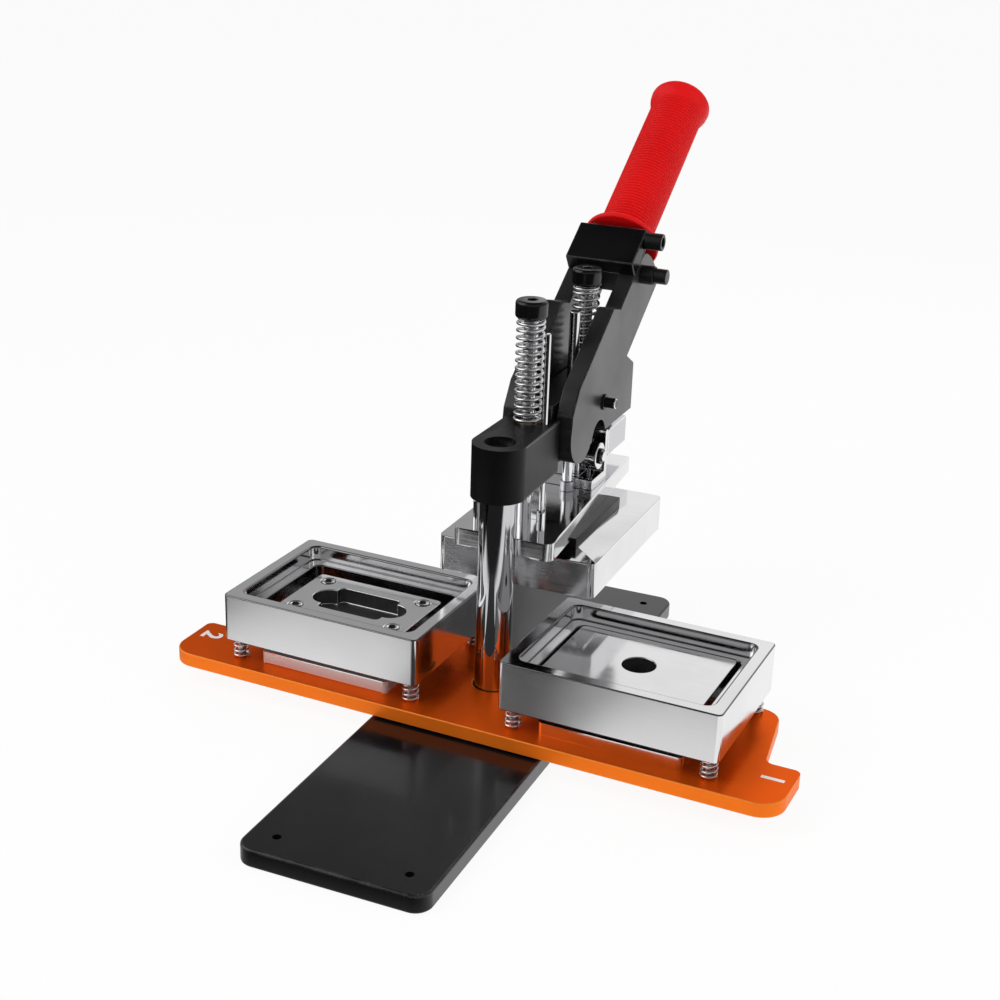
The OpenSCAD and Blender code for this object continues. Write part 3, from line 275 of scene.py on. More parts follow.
class Finishes:
    """The finishes of the press."""

    GLOSS_BLACK = Finish("gloss_black_coat", "black_gloss", (0.005, 0.005, 0.006), (0.14, 0.26),
                         grain=900, depth=0.004 * MM, mottle=0.25, coat=0.1, specular=0.4)
    GLOSS_EDGE = Finish("rubbed_gloss_edge", "black_gloss", (0.020, 0.020, 0.021), (0.16, 0.30),
                        grain=900, broad=140, depth=0.003 * MM, mottle=0.5)
    BLACK_CAP = Finish("black_cap", "black_gloss", (0.004, 0.004, 0.004), (0.10, 0.20),
                       grain=2200, depth=0.003 * MM, mottle=0.25)
    MATT_BLACK = Finish("matt_black_coat", "black_satin", (0.004, 0.004, 0.0045), (0.30, 0.42),
                        grain=2600, depth=0.006 * MM, mottle=0.3, specular=0.16)
    SATIN_BLACK = Finish("satin_black_coat", "black_satin", (0.003, 0.003, 0.0035), (0.24, 0.36),
                         grain=2600, depth=0.005 * MM, mottle=0.3, specular=0.2)
    BAR_BLACK = Finish("satin_bar_coat", "black_satin", (0.012, 0.012, 0.0125), (0.28, 0.40),
                       grain=2600, depth=0.005 * MM, mottle=0.25, specular=0.85)
    BLACK_EDGE = Finish("rubbed_black_edge", "black_satin", (0.022, 0.022, 0.023), (0.20, 0.34),
                        grain=900, broad=160, depth=0.004 * MM, mottle=0.5)
    ORANGE = Finish("orange_anodising", "orange_anodised", (0.94, 0.125, 0.006), (0.27, 0.37),
                    metallic=0.72, grain=3200, depth=0.006 * MM, mottle=0.06, specular=0.2,
                    edge_tint=(1.0, 0.5, 0.2))
    # Painted light: the plate's sides are lighter and less metallic than its top
    ORANGE_SIDE = Finish("orange_side_painted_light", "orange_anodised", (0.98, 0.20, 0.014), (0.32, 0.44),
                         metallic=0.3, grain=2600, depth=0.004 * MM, mottle=0.06, specular=0.3,
                         edge_tint=(1.0, 0.5, 0.15))
    # A cut chamfer, lighter than the top, which also paints the highlight along the plate's edges
    ORANGE_EDGE = Finish("cut_orange_edge_painted_highlight", "orange_anodised", (1.0, 0.27, 0.04), (0.26, 0.38),
                         metallic=0.35, grain=1800, depth=0.003 * MM, mottle=0.06, specular=0.5,
                         edge_tint=(1.0, 0.6, 0.2))
    WHITE_MARK = Finish("white_mark", "orange_anodised", (0.85, 0.84, 0.82), (0.35, 0.5),
                        grain=3000, depth=0.004 * MM, mottle=0.04)
    MIRROR = Finish("mirror_steel", "polished_steel", (0.80, 0.80, 0.81), (0.03, 0.10), metallic=1.0,
                    grain=900, brushed=Grain.ALONG_Z, depth=0.0006 * MM, mottle=0.04)
    COLUMN = Finish("dark_chrome", "polished_steel", (0.56, 0.56, 0.57), (0.03, 0.09), metallic=1.0,
                    grain=900, brushed=Grain.ALONG_Z, depth=0.0006 * MM, mottle=0.04)
    DIE_STEEL = Finish("polished_die_steel", "polished_steel", (0.78, 0.78, 0.79), (0.07, 0.18), metallic=1.0,
                       grain=1400, brushed=Grain.ALONG_X, depth=0.0014 * MM, mottle=0.05)
    SIDE_STEEL = Finish("satin_die_side", "polished_steel", (0.80, 0.80, 0.81), (0.36, 0.46), metallic=1.0,
                        grain=1800, brushed=Grain.ALONG_X, depth=0.0008 * MM, mottle=0.04)
    # Painted reflection: a dark steel on the rings' rounded edges, for the dark lines that polished edges
    # mirror
    DIE_EDGE = Finish("die_edge_painted_reflection", "polished_steel", (0.26, 0.26, 0.265), (0.08, 0.18), metallic=1.0,
                      grain=1100, broad=90, depth=0.001 * MM, mottle=0.08)
    WORN_STEEL = Finish("worn_ram_face", "polished_steel", (0.82, 0.82, 0.83), (0.14, 0.30), metallic=1.0,
                        grain=1600, broad=40, brushed=Grain.ALONG_X, depth=0.0012 * MM, mottle=0.08)
    # Painted shade: a darker steel for the walls deep in a ring's opening and the sides of the part in its
    # middle
    SHADED_STEEL = Finish("painted_shade_die_wall", "polished_steel", (0.30, 0.30, 0.305), (0.16, 0.28), metallic=1.0,
                          grain=1800, brushed=Grain.ALONG_X, depth=0.003 * MM, mottle=0.15)
    MILLED_STEEL = Finish("milled_pedestal", "polished_steel", (0.86, 0.86, 0.87), (0.40, 0.52), metallic=0.5,
                          grain=1600, brushed=Grain.ALONG_X, depth=0.002 * MM, mottle=0.04)
    RAM_STEEL = Finish("polished_ram_steel", "polished_steel", (0.76, 0.76, 0.77), (0.06, 0.16), metallic=1.0,
                       grain=1400, brushed=Grain.ALONG_X, depth=0.0014 * MM, mottle=0.05)
    STEEL_EDGE = Finish("burnished_steel_edge", "polished_steel", (0.86, 0.86, 0.87), (0.05, 0.16),
                        metallic=1.0, grain=1100, broad=90, depth=0.001 * MM, mottle=0.06)
    # Painted shade: a dark steel for the inside of a hole or a recess
    BORE = Finish("painted_shade_bore", "polished_steel", (0.13, 0.13, 0.135), (0.30, 0.46), metallic=0.9,
                  grain=1900, brushed=Grain.ALONG_Z, depth=0.006 * MM, mottle=0.25)
    SPRING = Finish("spring_wire", "polished_steel", (0.90, 0.90, 0.91), (0.16, 0.28), metallic=1.0,
                    grain=2400, depth=0.001 * MM, mottle=0.08)
    GROUND = Finish("fine_ground_steel", "ground_steel", (0.60, 0.60, 0.62), (0.18, 0.32), metallic=1.0,
                    grain=1800, brushed=Grain.ALONG_Y, depth=0.003 * MM, mottle=0.08)
    SCREW = Finish("bright_screw", "ground_steel", (0.84, 0.84, 0.85), (0.10, 0.20), metallic=1.0,
                   grain=1500, depth=0.001 * MM, mottle=0.06)
    # Painted shade: a dark steel for the inside of a screw's socket
    SOCKET = Finish("painted_shade_socket", "ground_steel", (0.16, 0.16, 0.165), (0.28, 0.42), metallic=0.9,
                    grain=2400, depth=0.004 * MM, mottle=0.25)
    BRONZE = Finish("oiled_bronze", "bronze", (0.28, 0.18, 0.08), (0.30, 0.45), metallic=1.0,
                    grain=3000, depth=0.006 * MM, mottle=0.15)
    OXIDE = Finish("black_oxide", "dark_steel", (0.014, 0.014, 0.015), (0.22, 0.38), metallic=0.5,
                   grain=2600, depth=0.004 * MM, mottle=0.3)
    RUBBER = Finish("ribbed_rubber", "red_rubber", (0.70, 0.005, 0.006), (0.32, 0.42),
                    grain=2400, depth=0.0015 * MM, mottle=0.05, specular=0.2)


def put(faces: Iterable[bmesh.types.BMFace], zone: Zone) -> None:
    """Put faces in a zone of their piece."""
    for face in faces:
        face.material_index = zone.value


class Shape:
    """A mesh in millimetres, shaped with operators and then made a piece of the press."""

    weld: ClassVar[float] = 0.002
    pole_weld: ClassVar[float] = 0.0005
    flat_turn: ClassVar[float] = math.radians(0.6)
    wire_sides: ClassVar[int] = 12

    def __init__(self) -> None:
        """Start with nothing."""
        self.bm = bmesh.new()

    @classmethod
    def of_node(cls, node: str) -> "Shape":
        """Copy a solid of the frame, join its loose triangles and merge them into whole faces.

        Args:
            node: Name of the solid.

        Returns:
            The copy.
        """
        shape = cls()
        shape.bm.from_mesh(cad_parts[node].data)
        shape.transform(Matrix.Scale(1 / MM, 4))
        bmesh.ops.remove_doubles(shape.bm, verts=shape.bm.verts, dist=cls.weld)
        bmesh.ops.dissolve_limit(shape.bm, angle_limit=cls.flat_turn, verts=shape.bm.verts,
                                 edges=shape.bm.edges)
        return shape.paint(Zone.FACE)

    def paint(self, zone: Zone, where: Test | None = None) -> "Shape":
        """Put faces in a zone.

        Args:
            zone: The zone.
            where: Test on a face's middle. Without it, all faces are meant.

        Returns:
            The shape itself.
        """
        put([face for face in self.bm.faces if where is None or where(face.calc_center_median())], zone)
        return self

    def transform(self, matrix: Matrix) -> "Shape":
        """Move, turn or scale the whole shape."""
        bmesh.ops.transform(self.bm, matrix=matrix, verts=self.bm.verts)
        return self

    def soften(self, radius: float, segments: int = 2, shortest: float = 0.0,
               where: Test | None = None) -> "Shape":
        """Round the sharp edges that are not round yet.

        Args:
            radius: Radius of the rounding.
            segments: Faces across the rounding.
            shortest: Edges shorter than this, such as the rims of small holes, stay as they are.
            where: Test on an edge's middle. Without it, all sharp edges are meant.

        Returns:
            The shape itself.
        """
        sharp = []
        for edge in self.bm.edges:
            if not edge.is_manifold or edge.calc_length() < shortest:
                continue
            if edge.calc_face_angle() < SHARP_TURN:
                continue
            if any(face.material_index == Zone.EDGE.value for face in edge.link_faces):
                continue
            if where is None or where((edge.verts[0].co + edge.verts[1].co) / 2):
                sharp.append(edge)
        made = bmesh.ops.bevel(self.bm, geom=sharp, offset=radius, offset_type="OFFSET", segments=segments,
                               profile=0.5, affect="EDGES", material=-1, clamp_overlap=False,
                               loop_slide=True)
        put(made["faces"], Zone.EDGE)
        return self

    def lathe(self, profile: Sequence[Point], steps: int = 72) -> "Shape":
        """Turn a profile about Z.

        Args:
            profile: Radius and height of each point, in order.
            steps: Faces around.

        Returns:
            The shape itself.
        """
        verts = [self.bm.verts.new((radius, 0.0, height)) for radius, height in profile]
        edges = [self.bm.edges.new(pair) for pair in zip(verts, verts[1:])]
        bmesh.ops.spin(self.bm, geom=verts + edges, cent=(0, 0, 0), axis=(0, 0, 1), angle=math.tau,
                       steps=steps, use_merge=True)
        bmesh.ops.remove_doubles(self.bm, verts=self.bm.verts, dist=self.pole_weld)
        bmesh.ops.recalc_face_normals(self.bm, faces=self.bm.faces)
        return self

    def socket(self, radius: float, lead: float, depth: float) -> "Shape":
        """Close a turned shape's open top rim with a hexagon socket.

        Args:
            radius: Radius of the hexagon's corners.
            lead: Depth of the bevel from the rim to the hexagon.
            depth: Depth of the hexagon.

        Returns:
            The shape itself.
        """
        rim = [edge for edge in self.bm.edges if edge.is_boundary]
        top = rim[0].verts[0].co.z
        corners = bmesh.ops.create_circle(self.bm, segments=6, radius=radius,
                                          matrix=Matrix.Translation((0, 0, top - lead)))["verts"]
        six = list({edge for corner in corners for edge in corner.link_edges})
        bevel = bmesh.ops.bridge_loops(self.bm, edges=rim + six)["faces"]
        walls = bmesh.ops.extrude_edge_only(self.bm, edges=six)["geom"]
        low = [item for item in walls if isinstance(item, bmesh.types.BMVert)]
        bmesh.ops.translate(self.bm, verts=low, vec=(0, 0, -depth))
        floor = bmesh.ops.contextual_create(self.bm, geom=low)["faces"]
        inside = [item for item in walls if isinstance(item, bmesh.types.BMFace)]
        # The socket's floor and walls take painted shade where the piece has a finish for it
        put(floor + inside, Zone.BORE)
        put(bevel, Zone.EDGE)
        bmesh.ops.recalc_face_normals(self.bm, faces=self.bm.faces)
        return self

    def coil(self, diameter: float, wire: float, height: float, turns: float,
             steps: int = 32) -> "Shape":
        """Wind a spring about Z from Z = 0, with one closed turn at each end.

        Args:
            diameter: Outer diameter.
            wire: Diameter of the wire.
            height: Height of the spring.
            turns: Turns in all.
            steps: Faces in a turn.

        Returns:
            The shape itself.
        """
        stand = (Matrix.Translation(((diameter - wire) / 2, 0, wire / 2))
                 @ Matrix.Rotation(math.pi / 2, 4, "X"))
        ring = bmesh.ops.create_circle(self.bm, segments=self.wire_sides, radius=wire / 2,
                                       matrix=stand)["verts"]
        ends = ring + list({edge for vert in ring for edge in vert.link_edges})
        open_rise = height - wire - 2 * wire
        for part, rise in ((1.0, wire), (turns - 2.0, open_rise), (1.0, wire)):
            count = round(part * steps)
            spun = bmesh.ops.spin(self.bm, geom=ends, cent=(0, 0, 0), axis=(0, 0, 1),
                                  angle=math.tau * part, dvec=(0, 0, rise / count), steps=count,
                                  use_merge=False, use_duplicate=False)
            ends = spun["geom_last"]
        rims = [edge for edge in self.bm.edges if edge.is_boundary]
        bmesh.ops.holes_fill(self.bm, edges=rims, sides=0)
        bmesh.ops.recalc_face_normals(self.bm, faces=self.bm.faces)
        return self

    def join(self, other: "Shape", matrix: Matrix) -> "Shape":
        """Add a copy of another shape.

        Args:
            other: The other shape, which stays as it is.
            matrix: Place of the copy.

        Returns:
            The shape itself.
        """
        spare = bpy.data.meshes.new("spare")
        other.bm.to_mesh(spare)
        spare.transform(matrix)
        self.bm.from_mesh(spare)
        bpy.data.meshes.remove(spare)
        return self

    def piece(self, name: str, body: str, finishes: Sequence[Finish],
              replaces: Iterable[str] = ()) -> bpy.types.Object:
        """Make the shape a piece of the press.

        Args:
            name: Name of the piece.
            body: Body of the frame that it rides on.
            finishes: Finish of each zone. A zone past the last one takes the first.
            replaces: Solids of the frame that it stands for.

        Returns:
            The piece.
        """
        self.transform(Matrix.Scale(MM, 4))
        strength = self.bm.faces.layers.int.new(FACE_STRENGTH)
        for face in self.bm.faces:
            face[strength] = WEAK_FACE if face.material_index == Zone.EDGE.value else 0
            if face.material_index >= len(finishes):
                face.material_index = Zone.FACE.value
        mesh = bpy.data.meshes.new(name)
        self.bm.to_mesh(mesh)
        self.bm.free()
        for finish in finishes:
            mesh.materials.append(finish.material())
        mesh.shade_smooth()
        mesh.set_sharp_from_angle(angle=CREASE)
        piece = bpy.data.objects.new(name, mesh)
        bpy.context.scene.collection.objects.link(piece)
        weights = piece.modifiers.new("even_faces", "WEIGHTED_NORMAL")
        weights.keep_sharp = True
        weights.use_face_influence = True
        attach(piece, body)
        names = tuple(replaces)
        if names:
            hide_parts(*names)
        LOG.info("%s: %d faces on %s", name, len(mesh.polygons), body)
        return piece


def dress(finish: Finish, *nodes: str) -> None:
    """Give solids of the frame a finish and leave their shape alone.

    Args:
        finish: The finish.
        nodes: Names of the solids.
    """
    for node in nodes:
        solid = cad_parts[node]
        solid.data.materials.clear()
        solid.data.materials.append(finish.material())
        LOG.info("%s: frame solid in %s", node, finish.name)


def softened(node: str, body: str, finishes: Sequence[Finish], radius: float, segments: int = 2,
             shortest: float = 0.0) -> None:
    """Replace a solid of the frame by a copy with rounded edges.

    Args:
        node: Name of the solid.
        body: Body that it rides on.
        finishes: Its finish, and that of its edges if that differs.
        radius: Radius of the edges in millimetres.
        segments: Faces across an edge.
        shortest: Edges shorter than this stay sharp.
    """
    shape = Shape.of_node(node).soften(radius, segments, shortest)
    shape.piece(f"{node}_dressed", body, finishes, [node])


def rounded(radius: float, height: float, edge: float, up: bool, steps: int = 4) -> list[Point]:
    """Return profile points on the round edge of a turned piece, from its underside up or up to its top.

    Args:
        radius: Radius of the piece.
        height: Height of its flat end.
        edge: Radius of the round edge.
        up: Whether the flat end is the top.
        steps: Faces across the edge.

    Returns:
        Radius and height of each point, in rising order.
    """
    points = []
    for step in range(steps + 1):
        angle = math.pi / 2 * step / steps
        out, rise = (math.cos(angle), math.sin(angle)) if up else (math.sin(angle), -math.cos(angle))
        middle = height - edge if up else height + edge
        points.append((radius - edge + edge * out, middle + edge * rise))
    return points


def height_of(node: str) -> tuple[float, float]:
    """Return the lowest and highest point of a solid of the frame, in millimetres."""
    low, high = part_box(node)
    return low[2] / MM, high[2] / MM


def larger(tree: Tree, one: Socket, other: Socket) -> Socket:
    """Add a node that takes the larger of two numbers.

    Args:
        tree: Nodes that it joins.
        one: A number.
        other: Another number.

    Returns:
        The larger number.
    """
    node = tree.nodes.new("ShaderNodeMath")
    node.operation = "MAXIMUM"
    tree.links.new(one, node.inputs[0])
    tree.links.new(other, node.inputs[1])
    return node.outputs[0]


def fade(tree: Tree, value: Socket, span: Point, low: float, high: float) -> Socket:
    """Add a node that goes smoothly from one level to another.

    Args:
        tree: Nodes that it joins.
        value: The number that it follows.
        span: Start and end of the change, in that number.
        low: Level up to the start.
        high: Level from the end.

    Returns:
        The level.
    """
    node = tree.nodes.new("ShaderNodeMapRange")
    node.interpolation_type = "SMOOTHSTEP"
    for name, number in zip(RANGE_SOCKETS, (*span, low, high)):
        node.inputs[name].default_value = number
    tree.links.new(value, node.inputs["Value"])
    return node.outputs["Result"]


def mixed(tree: Tree, share: Socket, plain: Socket, other: Socket) -> Socket:
    """Add a node that mixes two shaders.

    Args:
        tree: Nodes that it joins.
        share: Share of the other shader, from 0 to 1.
        plain: The shader at 0.
        other: The shader at 1.

    Returns:
        The mixed shader.
    """
    node = tree.nodes.new("ShaderNodeMixShader")
    for slot, socket in enumerate((share, plain, other)):
        tree.links.new(socket, node.inputs[slot])
    return node.outputs["Shader"]


@dataclass(frozen=True)
class Softbox:
    """A square lamp, with its place and side in metres and its power in watts."""

    name: str
    place: Place
    side: float
    power: float
    mirrored: bool = False

    def hang(self, target: Vector) -> None:
        """Hang the lamp so that it faces the press.

        Args:
            target: Place in metres that it faces.
        """
        light = bpy.data.lights.new(self.name, "AREA")
        light.size = self.side
        light.energy = self.power
        lamp = bpy.data.objects.new(self.name, light)
        lamp.visible_camera = False
        lamp.visible_glossy = self.mirrored
        facing = (target - Vector(self.place)).to_track_quat("-Z", "Y")
        lamp.matrix_world = Matrix.Translation(self.place) @ facing.to_matrix().to_4x4()
        bpy.context.scene.collection.objects.link(lamp)


@dataclass
class Studio:
    """Camera, floor, world and lamps. The camera is placed in millimetres, and the rest in metres."""

    azimuth: float = 22.75
    elevation: float = 21.35
    roll: float = 1.92
    distance: float = 874.0
    target: Place = (2.57, -3.84, 129.31)
    focal_pixels: float = 1663.0
    image_pixels: float = 1000.0
    sensor: float = 36.0
    near_clip: float = 0.02
    floor_radius: float = 6.0
    floor_sides: int = 96
    floor_drop: float = 0.0002
    floor_colour: Colour = (0.86, 0.86, 0.86)
    floor_roughness: float = 0.9
    floor_glow: float = 0.93
    front_fade: Point = (-0.205, -0.165)
    side_fade: Point = (-0.225, -0.185)
    dark_level: float = 0.02
    soft_strength: float = 0.45
    window: Place = (-0.75, -0.35, 0.56)
    window_fade: Point = (0.84, 0.92)
    window_strength: float = 1.6
    bands: tuple[Point, ...] = ((0.0, 0.30), (0.15, 0.42), (0.30, 0.50), (0.45, 0.45), (0.65, 0.18),
                                (0.85, 0.04), (1.0, 0.03))
    lamps: tuple[Softbox, ...] = (
        Softbox("key_softbox", (-0.75, -0.80, 1.35), 1.1, 15.0),
        Softbox("right_softbox", (1.25, 0.05, 0.75), 0.8, 7.0),
        Softbox("back_softbox", (0.03, 1.00, 0.65), 0.9, 1.5, mirrored=True),
    )

    def build(self) -> None:
        """Make the whole studio."""
        bpy.context.scene.view_settings.view_transform = "Standard"
        self.camera()
        self.floor()
        self.world()
        for lamp in self.lamps:
            lamp.hang(Vector(self.target) * MM)

    def camera(self) -> None:
        """Stand the camera where the photograph was taken."""
        turn, rise = math.radians(self.azimuth), math.radians(self.elevation)
        back = Vector((math.sin(turn) * math.cos(rise), -math.cos(turn) * math.cos(rise), math.sin(rise)))
        level = Vector((math.cos(turn), math.sin(turn), 0.0))
        upright = back.cross(level)
        lean = Matrix((level, upright, back)).transposed().to_4x4()
        lens = bpy.data.cameras.new("photo_camera")
        lens.sensor_width = self.sensor
        lens.lens = self.focal_pixels / self.image_pixels * self.sensor
        lens.clip_start = self.near_clip
        stand = bpy.data.objects.new("photo_camera", lens)
        place = (Vector(self.target) + back * self.distance) * MM
        stand.matrix_world = (Matrix.Translation(place) @ lean
                              @ Matrix.Rotation(math.radians(self.roll), 4, "Z"))
        bpy.context.scene.collection.objects.link(stand)
        bpy.context.scene.camera = stand

    def floor(self) -> None:
        """Lay a pale floor: white to the eye, with a soft shadow, and darker to the front in mirrors."""
        bm = bmesh.new()
        bmesh.ops.create_circle(bm, cap_ends=True, segments=self.floor_sides, radius=self.floor_radius)
        mesh = bpy.data.meshes.new("floor")
        bm.to_mesh(mesh)
        bm.free()
        floor = bpy.data.objects.new("floor", mesh)
        bpy.context.scene.collection.objects.link(floor)
        material = bpy.data.materials.new("pale_floor")
        material.use_nodes = True
        tree = material.node_tree
        matt = tree.nodes["Principled BSDF"]
        matt.inputs["Base Color"].default_value = (*self.floor_colour, 1.0)
        matt.inputs["Roughness"].default_value = self.floor_roughness
        glow = tree.nodes.new("ShaderNodeEmission")
        tree.links.new(self.floor_level(tree), glow.inputs["Strength"])
        surface = mixed(tree, self.glow_share(tree), matt.outputs["BSDF"], glow.outputs["Emission"])
        tree.links.new(surface, tree.nodes["Material Output"].inputs["Surface"])
        mesh.materials.append(material)
        floor.location.z = -self.floor_drop

    def floor_level(self, tree: Tree) -> Socket:
        """Return the floor's brightness: 1 to the eye, and in mirrors less to the front and the left.

        Args:
            tree: Nodes of the floor's material.

        Returns:
            The brightness.
        """
        spot = tree.nodes.new("ShaderNodeSeparateXYZ")
        tree.links.new(tree.nodes.new("ShaderNodeTexCoord").outputs["Object"], spot.inputs["Vector"])
        lit = tree.nodes.new("ShaderNodeMath")
        lit.operation = "MULTIPLY"
        for slot, (axis, span) in enumerate((("Y", self.front_fade), ("X", self.side_fade))):
            level = fade(tree, spot.outputs[axis], span, self.dark_level, 1.0)
            tree.links.new(level, lit.inputs[slot])
        path = tree.nodes.new("ShaderNodeLightPath")
        return larger(tree, lit.outputs[0], path.outputs["Is Camera Ray"])

    def glow_share(self, tree: Tree) -> Socket:
        """Return the floor's share of glow: all in a mirror, most to the eye, none for other light.

        Args:
            tree: Nodes of the floor's material.

        Returns:
            The share.
        """
        path = tree.nodes.new("ShaderNodeLightPath")
        direct = tree.nodes.new("ShaderNodeMath")
        direct.operation = "MULTIPLY"
        direct.inputs[1].default_value = self.floor_glow
        tree.links.new(path.outputs["Is Camera Ray"], direct.inputs[0])
        mirrored = larger(tree, direct.outputs[0], path.outputs["Is Glossy Ray"])
        return larger(tree, mirrored, path.outputs["Is Transmission Ray"])

    def world(self) -> None:
        """Light the room softly, white where it is seen directly and banded like a studio in mirrors."""
        world = bpy.data.worlds.new("studio")
        world.use_nodes = True
        bpy.context.scene.world = world
        tree = world.node_tree
        soft = tree.nodes["Background"]
        soft.inputs["Color"].default_value = WHITE
        soft.inputs["Strength"].default_value = self.soft_strength
        white = tree.nodes.new("ShaderNodeBackground")
        white.inputs["Color"].default_value = WHITE
        room = tree.nodes.new("ShaderNodeBackground")
        tree.links.new(self.room_level(tree), room.inputs["Strength"])
        path = tree.nodes.new("ShaderNodeLightPath")
        unseen = mixed(tree, path.outputs["Is Glossy Ray"], soft.outputs["Background"],
                       room.outputs["Background"])
        whole = mixed(tree, path.outputs["Is Camera Ray"], unseen, white.outputs["Background"])
        tree.links.new(whole, tree.nodes["World Output"].inputs["Surface"])

    def room_level(self, tree: Tree) -> Socket:
        """Return the room's brightness in mirrors, from its bands by height and one window.

        Args:
            tree: Nodes of the world.

        Returns:
            The brightness.
        """
        way = tree.nodes.new("ShaderNodeTexCoord").outputs["Generated"]
        height = tree.nodes.new("ShaderNodeSeparateXYZ")
        ramp = tree.nodes.new("ShaderNodeValToRGB")
        tree.links.new(way, height.inputs["Vector"])
        tree.links.new(height.outputs["Z"], ramp.inputs["Fac"])
        stops = ramp.color_ramp.elements
        while len(stops) < len(self.bands):
            stops.new(1.0)
        for stop, (spot, level) in zip(stops, self.bands):
            stop.position = spot
            stop.color = (level, level, level, 1.0)
        near = tree.nodes.new("ShaderNodeVectorMath")
        near.operation = "DOT_PRODUCT"
        near.inputs[1].default_value = Vector(self.window).normalized()
        tree.links.new(way, near.inputs[0])
        pane = fade(tree, near.outputs["Value"], self.window_fade, 0.0, self.window_strength)
        total = tree.nodes.new("ShaderNodeMath")
        tree.links.new(ramp.outputs["Color"], total.inputs[0])
        tree.links.new(pane, total.inputs[1])
        return total.outputs[0]


@dataclass
class Base:
    """Base plate, column and the washer under the turntable."""

    edge: float = 1.4
    column_edge: float = 0.8
    body: ClassVar[str] = "frame"

    def build(self) -> None:
        """Make the base plate and the column, and dress the rest."""
        softened("base_plate", self.body, [Finishes.GLOSS_BLACK, Finishes.GLOSS_EDGE], self.edge,
                 segments=3, shortest=SMALL_RIM)
        softened("front_column", self.body, [Finishes.COLUMN], self.column_edge)
        dress(Finishes.OXIDE, "column_bolt")
        dress(Finishes.BRONZE, "thrust_washer")


@dataclass
class Turntable:
    """Turntable plate with its numbered tabs.

    The tab fields give the middle of a numeral, out from the column and across the plate.
    """

    edge: float = 0.6
    tab_radius: float = 168.5
    tab_offset: float = -25.0
    mark_size: float = 16.5
    mark_weight: float = 0.45
    mark_lift: float = 0.03
    node: ClassVar[str] = "turntable_plate"
    body: ClassVar[str] = "turntable"

    def build(self) -> None:
        """Make the plate and the marks, and dress the bush and the screws under it."""
        self.plate()
        for side, number in ((Side.RIGHT, "1"), (Side.LEFT, "2")):
            self.mark(side, number)
        dress(Finishes.BRONZE, "turntable_bush")
        dress(Finishes.GROUND, "pedestal_screws")

    def plate(self) -> None:
        """Make the plate, with painted light on its sides, which are a little lighter than its top."""
        low, high = height_of(self.node)
        shape = Shape.of_node(self.node)
        # Painted light: the sides take the lighter orange
        shape.paint(Zone.SIDE, lambda spot: low + TOUCH < spot.z < high - TOUCH)
        shape.soften(self.edge, shortest=SMALL_RIM)
        shape.piece(f"{self.node}_dressed", self.body,
                    [Finishes.ORANGE, Finishes.ORANGE_EDGE, Finishes.ORANGE, Finishes.ORANGE_SIDE],
                    [self.node])

    def mark(self, side: Side, number: str) -> None:
        """Lay a plain numeral flat on a tab, with its top towards the column.

        Args:
            side: Side of the turntable.
            number: The numeral.
        """
        outline = bpy.data.curves.new("numeral", "FONT")
        outline.body = number
        outline.size = self.mark_size
        outline.align_x = "CENTER"
        outline.align_y = "CENTER"
        outline.extrude = self.mark_lift
        outline.offset = self.mark_weight
        holder = bpy.data.objects.new("numeral", outline)
        flat = bpy.data.meshes.new_from_object(holder)
        bpy.data.objects.remove(holder)
        bpy.data.curves.remove(outline)
        top = height_of(self.node)[1]
        shape = Shape()
        shape.bm.from_mesh(flat)
        bpy.data.meshes.remove(flat)
        shape.transform(Matrix.Rotation(REST_TURN, 4, "Z")
                        @ Matrix.Translation((side.value * self.tab_radius, self.tab_offset, top))
                        @ Matrix.Rotation(side.value * math.pi / 2, 4, "Z"))
        shape.piece(f"station_mark_{number}", self.body, [Finishes.WHITE_MARK])


